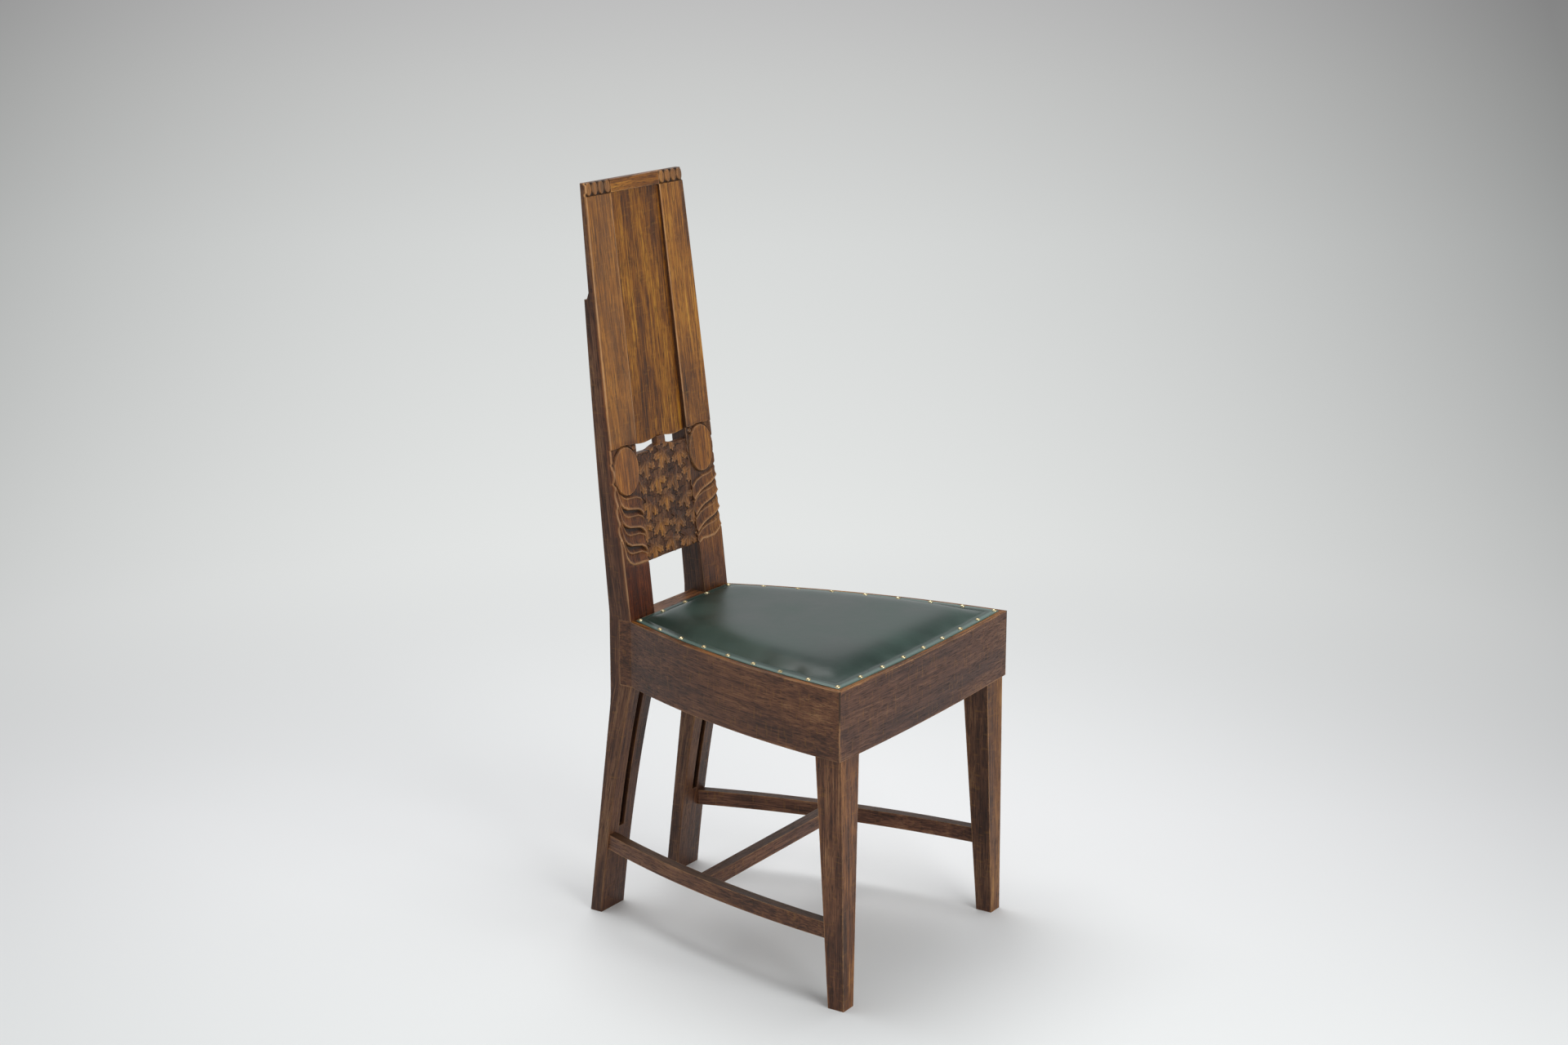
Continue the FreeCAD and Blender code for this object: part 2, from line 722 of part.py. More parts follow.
def build_back_panel():
    body = new_body("back_panel")
    low = panel_bottom - size["panel_dip"] - size["neck_tenon_length"]
    section = leaning(low, panel_top, panel_front, zero, size["panel_thickness"], zero)
    pad(body, "back_panel_board", "YZ_Plane", [section], panel_half * 2, centred=True)
    half_neck = size["neck_width"] / 2
    half_tenon = size["neck_tenon_width"] / 2
    face = [
        (-panel_half, panel_bottom, size["panel_dip"], -1),
        (-half_neck, panel_bottom),
        (-half_tenon, panel_bottom),
        (-half_tenon, low),
        (half_tenon, low),
        (half_tenon, panel_bottom),
        (half_neck, panel_bottom, size["panel_dip"], -1),
        (panel_half, panel_bottom),
        (panel_half, panel_top),
        (-panel_half, panel_top),
    ]
    surround = frame_round(panel_half, low, panel_top)
    pocket(body, "back_panel_edge", "XZ_Plane", [surround, face], chair_depth + overrun)
    return body


def build_carved_splat():
    body = new_body("carved_splat")
    section = leaning(
        splat_low, panel_bottom, post_front, size["splat_recess"], size["splat_thickness"], zero
    )
    pad(body, "carved_splat_board", "YZ_Plane", [section], size["gap_seat"], centred=True)
    low_half = along_back(size["gap_seat"], size["gap_top"], splat_low) / 2
    top_half = along_back(size["gap_seat"], size["gap_top"], splat_top) / 2
    half_neck = size["neck_width"] / 2
    shoulder = splat_top + size["splat_rise"]
    face = [
        (-low_half, splat_low),
        (low_half, splat_low),
        (top_half, splat_top, size["splat_rise"] / 2, -1),
        (half_neck, shoulder),
        (half_neck, panel_bottom),
        (-half_neck, panel_bottom),
        (-half_neck, shoulder, size["splat_rise"] / 2, -1),
        (-top_half, splat_top),
    ]
    surround = frame_round(half_gap, splat_low, panel_bottom)
    pocket(body, "carved_splat_edge", "XZ_Plane", [surround, face], chair_depth + overrun)
    tenon = leaning(
        splat_tenon_low,
        splat_tenon_high,
        post_front,
        splat_tenon_inset,
        size["splat_tenon_width"],
        zero,
    )
    pad(body, "carved_splat_tenons", "YZ_Plane", [tenon], splat_half * 2, centred=True)
    mortise = leaning(
        panel_bottom - size["panel_dip"] - size["neck_tenon_length"] - fit,
        panel_bottom + overrun,
        panel_front,
        zero,
        size["panel_thickness"],
        fit,
    )
    width = size["neck_tenon_width"] + fit * 2
    pocket(body, "carved_splat_mortise", "YZ_Plane", [mortise], width, centred=True)
    return body


# Seat rails


def build_front_rail():
    body = new_body("front_rail_board")
    inner_arc = size["front_bow"] * front_inner_x / half_seat
    outline = [
        (-half_seat, corner_y, size["front_bow"], -1),
        (half_seat, corner_y),
        (front_inner_x, front_inner_y, inner_arc, 1),
        (-front_inner_x, front_inner_y),
    ]
    low_height = rail_height - size["rabbet_depth"]
    pad(body, "front_rail_plank", "XY_Plane", [outline], low_height, lift=rail_bottom)
    lip = rail_thickness - size["rabbet_width"]
    lip_x = half_seat - lip
    lip_arc = size["front_bow"] * lip_x / half_seat
    lip_outline = [
        (-half_seat, corner_y, size["front_bow"], -1),
        (half_seat, corner_y),
        (lip_x, corner_y + lip, lip_arc, 1),
        (-lip_x, corner_y + lip),
    ]
    pad(body, "front_rail_lip", "XY_Plane", [lip_outline], size["rabbet_depth"], lift=rabbet_floor)
    return body


def side_outline(side, thickness, lap):
    """Plan of a side rail: bowed, mitred in front and lapped over its post."""
    bow = side_bow[side]
    corner = (half_seat * side, corner_y)
    inner_front = ((half_seat - thickness) * side, corner_y + thickness)
    inner_rear = (bow.x_at(seat_depth, thickness), seat_depth)
    lap_x = (half_back - lap) * side
    lap_y = seat_depth + size["lap_length"]
    inner_rise = bow.rise(inner_front, inner_rear, thickness)
    return [
        corner + (size["side_bow"], -side),
        (half_back * side, seat_depth),
        (half_back * side, lap_y),
        (lap_x, lap_y),
        (lap_x, seat_depth),
        inner_rear + (inner_rise, side),
        inner_front,
    ]


def build_side_rail(side, label):
    body = new_body(label + "_board")
    lap = size["lap_thickness"]
    outline = side_outline(side, rail_thickness, lap)
    low_height = rail_height - size["rabbet_depth"]
    pad(body, label + "_plank", "XY_Plane", [outline], low_height, lift=rail_bottom)
    lip = side_outline(side, rail_thickness - size["rabbet_width"], lap)
    pad(body, label + "_lip", "XY_Plane", [lip], size["rabbet_depth"], lift=rabbet_floor)
    return body


def build_rear_rail():
    body = new_body("rear_rail_board")
    rear = seat_depth + size["rear_rail_thickness"]
    outline = [
        (-half_gap, shelf_front),
        (half_gap, shelf_front),
        (half_gap, rear),
        (-half_gap, rear),
    ]
    pad(body, "rear_rail_plank", "XY_Plane", [outline], rail_height, lift=rail_bottom)
    shelf_x = side_bow[1].x_at(shelf_front, rail_thickness) - gap
    rear_x = side_bow[1].x_at(seat_depth, rail_thickness) - gap
    shelf = [
        (-shelf_x, shelf_front),
        (shelf_x, shelf_front),
        (rear_x, seat_depth),
        (-rear_x, seat_depth),
    ]
    shelf_low = seat_height - size["shelf_height"]
    pad(body, "rear_rail_shelf", "XY_Plane", [shelf], size["shelf_height"], lift=shelf_low)
    block(
        body,
        "rear_rail_rabbet",
        "Subtractive",
        (-half_back, shelf_front - overrun, rabbet_floor),
        (half_back, shelf_front + size["rabbet_width"], seat_height + overrun),
    )
    middle_y = seat_depth + size["rear_rail_thickness"] / 2
    middle_z = seat_height - rail_height / 2
    reach = half_gap + size["rear_tenon_length"]
    block(
        body,
        "rear_rail_tenons",
        "Additive",
        (
            -reach,
            middle_y - size["rear_tenon_width"] / 2,
            middle_z - size["rear_tenon_height"] / 2,
        ),
        (
            reach,
            middle_y + size["rear_tenon_width"] / 2,
            middle_z + size["rear_tenon_height"] / 2,
        ),
    )
    return body


# Front legs


def build_front_leg(side, label):
    body = new_body(label)
    profile = [
        (leg_foot_front, 0),
        (leg_foot_rear, 0),
        (leg_rear_top, rail_bottom),
        (leg_front, rail_bottom),
    ]
    near, far = sided(side, leg_inner_top, leg_outer_top)
    pad(body, label + "_profile", "YZ_Plane", [profile], far - near, lift=near)
    face = [
        (leg_inner_foot * side, 0),
        (leg_outer_foot * side, 0),
        (leg_outer_top * side, rail_bottom),
        (leg_inner_top * side, rail_bottom),
    ]
    surround = frame_round(half_seat, zero, rail_bottom)
    pocket(body, label + "_taper", "XZ_Plane", [surround, face], leg_rear_top + overrun)

    # Stub that stands inside the mitred corner of the rails
    stub_outer = side_bow[1].x_at(leg_rear_top, rail_thickness) - gap
    low_x, high_x = sided(side, leg_inner_top, stub_outer)
    block(
        body,
        label + "_stub",
        "Additive",
        (low_x, front_inner_y + gap, rail_bottom),
        (high_x, leg_rear_top, seat_height - size["stub_drop"]),
    )

    # Housing of the side stretcher
    low_x, high_x = sided(
        side, stretcher_front_x - size["stretcher_width"] - fit, stretcher_front_x + fit
    )
    block(
        body,
        label + "_housing",
        "Subtractive",
        (low_x, stretcher_front_y - size["housing_depth"] - fit, stretcher_bottom - fit),
        (high_x, stretcher_front_y + overrun, stretcher_top + fit),
    )
    return body


# Stretchers


def stretcher_inner(side):
    """Inner face of a side stretcher."""
    word = "left" if side < 0 else "right"
    width = size["stretcher_width"]
    start = ((stretcher_front_x - width) * side, stretcher_front_y)
    end = ((stretcher_rear_x - width) * side, stretcher_rear_y)
    return Bow(f"stretcher_{word}", start, end, size["stretcher_bow"], side)


inner_face = {side: stretcher_inner(side) for side in (-1, 1)}
cross_front = place("cross_front", size["cross_place"] - size["cross_width"] / 2)
cross_rear = place("cross_rear", size["cross_place"] + size["cross_width"] / 2)
cross_bottom = place("cross_bottom", stretcher_top - size["cross_height"])
cross_middle = place("cross_middle", stretcher_top - size["cross_height"] / 2)
cross_reach = place(
    "cross_reach",
    inner_face[1].x_at(size["cross_place"], zero) + size["cross_tenon_length"],
)


def build_side_stretcher(side, label):
    body = new_body(label)
    width = size["stretcher_width"]
    bow = size["stretcher_bow"]
    outline = [
        (stretcher_front_x * side, stretcher_front_y, bow, -side),
        (stretcher_rear_x * side, stretcher_rear_y),
        ((stretcher_rear_x - width) * side, stretcher_rear_y, bow, side),
        ((stretcher_front_x - width) * side, stretcher_front_y),
    ]
    pad(body, label + "_bar", "XY_Plane", [outline], size["stretcher_height"], lift=stretcher_bottom)
    ends = (
        ("_front_end", stretcher_front_x, stretcher_front_y - size["housing_depth"], stretcher_front_y),
        ("_rear_end", stretcher_rear_x, stretcher_rear_y, stretcher_rear_y + size["housing_depth"]),
    )
    for word, outer_x, low_y, high_y in ends:
        low_x, high_x = sided(side, outer_x - width, outer_x)
        block(
            body,
            label + word,
            "Additive",
            (low_x, low_y, stretcher_bottom),
            (high_x, high_y, stretcher_top),
        )
    half_width = size["cross_tenon_width"] / 2 + fit
    half_height = size["cross_tenon_height"] / 2 + fit
    low_x, high_x = sided(side, cross_reach - overrun, cross_reach + fit)
    block(
        body,
        label + "_mortise",
        "Subtractive",
        (low_x, size["cross_place"] - half_width, cross_middle - half_height),
        (high_x, size["cross_place"] + half_width, cross_middle + half_height),
    )
    return body


def build_cross_stretcher():
    body = new_body("stretcher_cross")
    front_x = inner_face[1].x_at(cross_front, zero)
    rear_x = inner_face[1].x_at(cross_rear, zero)
    outline = [
        (-front_x, cross_front),
        (front_x, cross_front),
        (rear_x, cross_rear),
        (-rear_x, cross_rear),
    ]
    pad(body, "cross_bar", "XY_Plane", [outline], size["cross_height"], lift=cross_bottom)
    block(
        body,
        "cross_tenons",
        "Additive",
        (
            -cross_reach,
            size["cross_place"] - size["cross_tenon_width"] / 2,
            cross_middle - size["cross_tenon_height"] / 2,
        ),
        (
            cross_reach,
            size["cross_place"] + size["cross_tenon_width"] / 2,
            cross_middle + size["cross_tenon_height"] / 2,
        ),
    )
    return body


# Corner blocks and their screws


def block_corners(side, front):
    """Plan of a corner block, its two ends on the slope that faces the middle first."""
    reach = size["block_leg"]
    bow = side_bow[1]
    if front:
        rear_y = leg_rear_top + gap + reach
        near_x = leg_inner_top - gap
        corners = [
            (near_x - reach, front_inner_y + gap),
            (bow.x_at(rear_y, rail_thickness) - gap, rear_y),
            (bow.x_at(leg_rear_top, rail_thickness) - gap * 2, leg_rear_top + gap),
            (near_x, leg_rear_top + gap),
            (near_x, front_inner_y + gap),
        ]
    else:
        front_y = shelf_front - reach
        outer_x = bow.x_at(shelf_front, rail_thickness) - gap
        corners = [
            (outer_x - reach, shelf_front),
            (bow.x_at(front_y, rail_thickness) - gap, front_y),
            (outer_x, shelf_front),
        ]
    return [(x * side, y) for x, y in corners]


def screw_line(corners):
    """Middle of the slope of a block and the way square to it, into the rails."""
    first = Vector(float(corners[0][0]), float(corners[0][1]), 0)
    second = Vector(float(corners[1][0]), float(corners[1][1]), 0)
    inside = Vector(float(corners[2][0]), float(corners[2][1]), 0)
    along = second.sub(first).normalize()
    way = Vector(-along.y, along.x, 0)
    if way.dot(inside.sub(first)) < 0:
        way = way.negative()
    height = float(seat_height - size["block_drop"] - size["block_height"] / 2)
    start = first.add(second).multiply(0.5).add(Vector(0, 0, height))
    return start, way


def screw_solid(corners):
    """One screw, its head on the slope of the block."""
    start, way = screw_line(corners)
    thick = size["screw_head_height"].value
    under = start.sub(Vector(way).multiply(thick))
    head = Part.makeCylinder(size["screw_head"].value / 2, thick, under, way)
    stem = Part.makeCylinder(size["screw_diameter"].value / 2, size["screw_length"].value, start, way)
    return head.fuse(stem).removeSplitter()


def screw_hole(corners):
    start, way = screw_line(corners)
    radius = size["screw_diameter"].value / 2 + fit.value
    low = start.sub(Vector(way).multiply(overrun.value))
    depth = size["screw_length"].value + fit.value
    return Part.makeCylinder(radius, overrun.value + depth, low, way)


block_names = {
    (-1, True): "corner_block_front_left",
    (1, True): "corner_block_front_right",
    (-1, False): "corner_block_rear_left",
    (1, False): "corner_block_rear_right",
}


def build_corner_block(side, front, label):
    body = new_body(label + "_wood")
    corners = block_corners(side, front)
    low = seat_height - size["block_drop"] - size["block_height"]
    pad(body, label + "_wedge", "XY_Plane", [corners], size["block_height"], lift=low)
    return body


# Shapes that are set from the sheet by the functions below


def feature(label, shape):
    item = document.addObject("Part::Feature", label)
    item.Label = label
    item.Shape = shape
    item.setExpression("Placement.Base.y", to_middle.text)
    return item


def arc_point(bow, inset, y):
    return Vector(bow.x_at(Size(y, ""), Size(inset, "")).value, y, 0)


class Plan:
    """Outline of the seat in plan, drawn in from the outer faces of the rails by an inset."""

    def __init__(self, inset):
        self.inset = inset
        rim = size["leather_rim"].value
        self.rear_y = seat_depth.value - size["leather_rear_gap"].value - (inset - rim)
        bow = size["front_bow"].value
        half = half_seat.value
        self.front_radius = (half**2 + bow**2) / (2 * bow)
        self.side = side_bow[1]
        self.corner = self.meet()

    def front_y(self, x):
        radius = self.front_radius - self.inset
        return self.front_radius - math.sqrt(radius**2 - x**2)

    def side_x(self, y):
        return arc_point(self.side, self.inset, y).x

    def meet(self):
        """Where the front arc and the side arc cross, closed in on step by step."""
        x = half_seat.value - self.inset
        for turn in range(12):
            y = self.front_y(x)
            x = self.side_x(y)
        return Vector(x, y, 0)

    def wire(self, z):
        corner = self.corner
        rear = Vector(self.side_x(self.rear_y), self.rear_y, 0)
        middle_y = (corner.y + self.rear_y) / 2
        middle = Vector(self.side_x(middle_y), middle_y, 0)
        mirror = [Vector(-point.x, point.y, z) for point in (corner, middle, rear)]
        corner, middle, rear = [Vector(point.x, point.y, z) for point in (corner, middle, rear)]
        front = Vector(0, self.front_y(0), z)
        edges = [
            Part.Arc(mirror[0], front, corner).toShape(),
            Part.Arc(corner, middle, rear).toShape(),
            Part.LineSegment(rear, mirror[2]).toShape(),
            Part.Arc(mirror[2], mirror[1], mirror[0]).toShape(),
        ]
        return Part.Wire(edges)

    def prism(self, low, high):
        return Part.Face(self.wire(low)).extrude(Vector(0, 0, high - low))


def crown_section(half, y, base, level, rise):
    """Section of the crown across the seat: two steep shoulders and a low arch."""
    width = size["crown_shoulder"].value
    edge = Vector(half, y, level)
    bend = Vector(half - width * bend_place_share, y, level + rise * bend_share)
    knee = Vector(half - width, y, level + rise * shoulder_share)
    top = Vector(0, y, level + rise)
    floor = Vector(half, y, base)
    mirror = [Vector(-point.x, y, point.z) for point in (edge, bend, knee, floor)]
    edges = [
        Part.LineSegment(mirror[3], floor).toShape(),
        Part.LineSegment(floor, edge).toShape(),
        Part.Arc(edge, bend, knee).toShape(),
        Part.Arc(knee, top, mirror[2]).toShape(),
        Part.Arc(mirror[2], mirror[1], mirror[0]).toShape(),
        Part.LineSegment(mirror[0], mirror[3]).toShape(),
    ]
    return Part.Wire(edges)


def crowned(inset, base, drop):
    """Crowned body of the seat inside an inset, its curve lowered by a drop."""
    plan = Plan(inset)
    wide = Plan(inset - size["crown_overlap"].value)
    level = seat_height.value + size["leather_thickness"].value - drop
    rise = size["crown_height"].value
    half_length = (wide.rear_y - wide.front_y(0)) / 2
    stations = []
    for index in range(crown_stations):
        way = 2 * index / (crown_stations - 1) - 1
        share = end_share + (1 - end_share) * (1 - abs(way) ** crown_power)
        stations.append((wide.front_y(0) + half_length * (1 + way), share))
    wires = [
        crown_section(wide.side_x(y), y, base, level, rise * share) for y, share in stations
    ]
    arch = Part.makeLoft(wires, True, False)
    column = plan.prism(base, level + rise * 2)
    return arch.common(column).removeSplitter()


def nail_points():
    plan = Plan(size["leather_rim"].value + size["nail_inset"].value)
    corner = plan.corner
    points = []
    for index in range(front_nails):
        x = corner.x * (2 * index / (front_nails - 1) - 1)
        points.append(Vector(x, plan.front_y(x), 0))
    for index in range(1, side_nails):
        y = corner.y + (plan.rear_y - corner.y) * index / (side_nails - 1)
        points.append(Vector(plan.side_x(y), y, 0))
        points.append(Vector(-plan.side_x(y), y, 0))
    rear_x = plan.side_x(plan.rear_y)
    for index in range(1, rear_nails - 1):
        points.append(Vector(rear_x * (2 * index / (rear_nails - 1) - 1), plan.rear_y, 0))
    return points


def square_rod(middle, width, low, high):
    corner = Vector(middle.x - width / 2, middle.y - width / 2, low)
    return Part.makeBox(width, width, high - low, corner)


def ring_of_facets(middle, radius, height):
    corners = []
    for index in range(nail_facets + 1):
        turn = 2 * math.pi * index / nail_facets
        x = middle.x + radius * math.cos(turn)
        y = middle.y + radius * math.sin(turn)
        corners.append(Vector(x, y, height))
    return Part.makePolygon(corners)


def nail_solid(middle):
    half = size["nail_head"].value / 2
    dome = size["nail_dome"].value
    seat = seat_height.value + size["leather_thickness"].value
    rings = []
    for ring in range(nail_rings):
        turn = math.pi / 2 * ring / nail_rings
        height = seat + dome * math.sin(turn)
        rings.append(ring_of_facets(middle, half * math.cos(turn), height))
    peak = Part.Vertex(Vector(middle.x, middle.y, seat + dome))
    head = Part.makeLoft(rings + [peak], True, True)
    shank = square_rod(middle, size["nail_shank"].value, seat - size["nail_length"].value, seat)
    return head.fuse(shank).Solids[0]


def nail_holes():
    seat = seat_height.value + size["leather_thickness"].value
    low = seat - size["nail_length"].value - fit.value
    width = size["nail_shank"].value + 2 * fit.value
    high = seat + overrun.value
    return Part.makeCompound([square_rod(point, width, low, high) for point in nail_points()])


def webbing():
    """Strips across the seat, and strips over them from front to rear."""
    width = size["webbing_width"].value
    thick = size["webbing_thickness"].value
    pitch = width + size["webbing_gap"].value
    low = rabbet_floor.value
    plan = Plan(rail_thickness.value - size["rabbet_width"].value + size["cloth_margin"].value)
    field = plan.prism(low, low + 2 * thick)
    middle_y = (plan.front_y(0) + plan.rear_y) / 2
    reach = half_seat.value
    strips = []
    for index in range(webbing_strips):
        offset = (index - (webbing_strips - 1) / 2) * pitch
        start = Vector(-reach, middle_y + offset - width / 2, low)
        strips.append(Part.makeBox(2 * reach, width, thick, start))
    for index in range(webbing_strips):
        offset = (index - (webbing_strips - 1) / 2) * (pitch - width / 4)
        start = Vector(offset - width / 2, -overrun.value, low + thick)
        strips.append(Part.makeBox(width, seat_depth.value + overrun.value, thick, start))
    return Part.makeCompound([strip.common(field) for strip in strips])


def hessian():
    low = rabbet_floor.value + 2 * size["webbing_thickness"].value
    plan = Plan(rail_thickness.value - size["rabbet_width"].value + size["cloth_margin"].value)
    return plan.prism(low, low + size["hessian_thickness"].value)


def stuffing():
    border = size["leather_rim"].value + size["border_width"].value
    thick = size["leather_thickness"].value
    base = rabbet_floor.value + 2 * size["webbing_thickness"].value + size["hessian_thickness"].value
    return crowned(border + thick + gap.value, base, thick + gap.value)


def leather_cover(holes):
    rim = size["leather_rim"].value
    border = rim + size["border_width"].value
    thick = size["leather_thickness"].value
    level = seat_height.value
    sheet_of_leather = Plan(rim).prism(level, level + thick)
    cavity = crowned(border + thick, level - overrun.value, thick)
    cover = sheet_of_leather.fuse(crowned(border, level, 0)).cut(cavity)
    return cover.cut(holes).removeSplitter()


# The chair

finished = []


def finish(item, label):
    item.Label = label
    finished.append(item)


def cut_with(base, tool, label):
    cut = document.addObject("Part::Cut", label)
    cut.Base = base
    cut.Tool = tool
    finish(cut, label)


for side, word in ((-1, "left"), (1, "right")):
    finish(build_post(side, f"post_{word}"), f"post_{word}")
    finish(build_side_stretcher(side, f"stretcher_{word}"), f"stretcher_{word}")
finish(build_cross_stretcher(), "stretcher_cross")
finish(build_crest_rail(), "crest_rail")
finish(build_back_panel(), "back_panel")
finish(build_carved_splat(), "carved_splat")

shank_holes = nail_holes()
screws = []
screw_holes = []
for side, front in block_names:
    corners = block_corners(side, front)
    screws.append(screw_solid(corners))
    screw_holes.append(screw_hole(corners))
holes = feature("fixing_holes", Part.makeCompound([shank_holes] + screw_holes))
cut_with(build_front_rail(), holes, "seat_rail_front")
cut_with(build_rear_rail(), holes, "seat_rail_rear")
for side, word in ((-1, "left"), (1, "right")):
    cut_with(build_side_rail(side, f"side_rail_{word}"), holes, f"seat_rail_{word}")
    cut_with(build_front_leg(side, f"leg_{word}"), holes, f"leg_front_{word}")
for (side, front), label in block_names.items():
    cut_with(build_corner_block(side, front, label), holes, label)

finish(feature("corner_block_screws", Part.makeCompound(screws)), "corner_block_screws")
finish(feature("seat_webbing", webbing()), "seat_webbing")
finish(feature("seat_hessian", hessian()), "seat_hessian")
finish(feature("seat_stuffing", stuffing()), "seat_stuffing")
finish(feature("leather_cover", leather_cover(shank_holes)), "leather_cover")
nails = Part.makeCompound([nail_solid(point) for point in nail_points()])
finish(feature("brass_nails", nails), "brass_nails")
document.recompute()

for item in document.Objects:
    if "Invalid" in item.State or "Error" in item.State:
        raise RuntimeError(f"{item.Label} failed: {item.State}")
os.makedirs("parts", exist_ok=True)
for item in finished:
    shape = item.Shape
    if shape.isNull() or not shape.isValid():
        raise RuntimeError(f"{item.Label} has no valid shape")
    shape.exportStep(os.path.join("parts", item.Label + ".step"))
    print(f"{item.Label}: {len(shape.Solids)} solids, {shape.Volume / 1000:.1f} cm3")
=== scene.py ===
from functools import partial
import math

import bmesh
import bpy
import numpy as np
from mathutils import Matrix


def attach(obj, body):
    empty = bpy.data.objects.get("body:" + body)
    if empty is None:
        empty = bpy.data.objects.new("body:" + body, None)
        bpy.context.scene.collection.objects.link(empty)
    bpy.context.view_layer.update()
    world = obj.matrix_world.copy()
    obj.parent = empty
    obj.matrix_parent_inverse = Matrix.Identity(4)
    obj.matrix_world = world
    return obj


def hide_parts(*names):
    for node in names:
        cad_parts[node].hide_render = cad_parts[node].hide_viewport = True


# High backed oak chair with a nailed leather seat.
# Sizes are in millimetres, and Y starts at the middle of the front rail, until a mesh is made.

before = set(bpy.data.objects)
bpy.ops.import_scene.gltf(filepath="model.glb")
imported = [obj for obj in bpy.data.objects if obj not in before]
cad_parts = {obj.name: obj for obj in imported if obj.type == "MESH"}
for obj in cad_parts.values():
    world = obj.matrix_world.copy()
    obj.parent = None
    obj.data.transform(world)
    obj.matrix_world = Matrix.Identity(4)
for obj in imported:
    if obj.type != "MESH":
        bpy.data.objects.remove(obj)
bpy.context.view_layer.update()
print("packed chair loaded")

chair = {
    "halfDepth": 255.7,       # from the middle of the front rail to the middle of the chair
    "seatHeight": 460.0,
    "railBottom": 362.0,
    "seatDepth": 427.5,       # front of the posts
    "frontRadius": 3991.5,    # bow of the front rail
    "sideRadius": 1282.03,    # bow of a side rail
    "sideCentre": (-1050.67, -90.13),
    "splatLow": 535.0,
    "splatTop": 691.0,
    "crestLow": 1064.4,
    "top": 1082.4,
    "lean": 74.4,             # how far the top of the back leans
}

# Settings that many nodes share
times = {"operation": "MULTIPLY"}
plus = {"operation": "ADD"}
addTimes = {"operation": "MULTIPLY_ADD"}
most = {"operation": "MAXIMUM"}
colours = {"data_type": "RGBA", "out": 2}


def linear(hexColour):
    values = []
    for start in (1, 3, 5):
        part = int(hexColour[start:start + 2], 16) / 255
        values.append(part / 12.92 if part <= 0.04045 else ((part + 0.055) / 1.055) ** 2.4)
    return (*values, 1.0)


# Adds one node and gives one of its outputs. Inputs go by number or name, each a value, a hex
# colour or another node's output, and the rest are the node's own settings
def addNode(tree, kind, inputs=(), out=0, stops=(), **settings):
    node = tree.nodes.new(kind if "Node" in kind else "ShaderNode" + kind)
    for name, value in settings.items():
        setattr(node, name, value)
    for name, value in inputs.items() if isinstance(inputs, dict) else enumerate(inputs):
        if isinstance(value, bpy.types.NodeSocket):
            tree.links.new(value, node.inputs[name])
        else:
            node.inputs[name].default_value = linear(value) if isinstance(value, str) else value
    if stops:
        ramp = node.color_ramp
        while len(ramp.elements) < len(stops):
            ramp.elements.new(0.5)
        for element, (place, colour) in zip(ramp.elements, stops):
            element.position = place
            element.color = linear(colour)
    return node.outputs[out] if node.outputs else node


# Makes a material of a pattern, which gives the shader's inputs or a whole surface
def makeMaterial(name, pattern, **details):
    material = bpy.data.materials.new(name)
    material.use_nodes = True
    material.node_tree.nodes.clear()
    add = partial(addNode, material.node_tree)
    surface = pattern(add, **details)
    if isinstance(surface, dict):
        surface = add("BsdfPrincipled", surface)
    add("OutputMaterial", {"Surface": surface})
    return material


def smoothStep(value, low, high):
    share = np.clip((value - low) / (high - low), 0.0, 1.0)
    return share * share * (3 - 2 * share)


def bump(value, width):
    return np.exp(-((value / width) ** 2))


# Value at a height or share, from a list of pairs
def table(pairs, place):
    return np.interp(place, [pair[0] for pair in pairs], [pair[1] for pair in pairs])


def newObject(name, data):
    thing = bpy.data.objects.new(name, data)
    bpy.context.scene.collection.objects.link(thing)
    return thing


# Smooths a closed mesh and turns its faces outwards
def finishMesh(mesh, sharp=None, weld=False):
    shell = bmesh.new()
    shell.from_mesh(mesh)
    if weld:
        bmesh.ops.remove_doubles(shell, verts=shell.verts, dist=1e-6)
    bmesh.ops.recalc_face_normals(shell, faces=shell.faces)
    shell.to_mesh(mesh)
    shell.free()
    mesh.polygons.foreach_set("use_smooth", [True] * len(mesh.polygons))
    if sharp:
        mesh.set_sharp_from_angle(angle=math.radians(sharp))


# Makes a piece from points in millimetres; edges past the sharp angle stay crisp
def makePiece(name, points, faces, material, marks=None, sharp=None):
    points = np.asarray(points, float).reshape(-1, 3)
    placed = (points - (0, chair["halfDepth"], 0)) / 1000
    mesh = bpy.data.meshes.new(name)
    mesh.from_pydata([tuple(point) for point in placed.tolist()], [], faces)
    for mark, values in (marks or {}).items():
        values = np.asarray(values, np.float32)
        kind, field = ("FLOAT_VECTOR", "vector") if values.ndim == 2 else ("FLOAT", "value")
        mesh.attributes.new(mark, kind, "POINT").data.foreach_set(field, values.ravel())
    mesh.materials.append(material)
    finishMesh(mesh, sharp)
    return newObject(name, mesh)


# Hides the imported nodes a finished piece stands in for, and hangs it on the root body
def finishPiece(piece, slot, *nodes):
    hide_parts(*nodes)
    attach(piece, "root")


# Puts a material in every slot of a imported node
def dressNode(node, material):
    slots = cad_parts[node].data.materials
    if not slots:
        slots.append(None)
    for index in range(len(slots)):
        slots[index] = material


# Quads between neighbouring rows of points, each row closed or open
def rowFaces(rows, columns, closed, start=0):
    faces = []
    for row in range(rows - 1):
        for column in range(columns if closed else columns - 1):
            a = start + row * columns + column
            b = start + row * columns + (column + 1) % columns
            faces.append((a, b, b + columns, a + columns))
    return faces


# Numbers of the points round the edge of a grid, in order
def edgeLoop(rows, columns, start=0):
    loop = list(range(columns))
    loop += [row * columns + columns - 1 for row in range(1, rows)]
    loop += [(rows - 1) * columns + column for column in range(columns - 2, -1, -1)]
    return [start + index for index in loop + [row * columns for row in range(rows - 2, 0, -1)]]


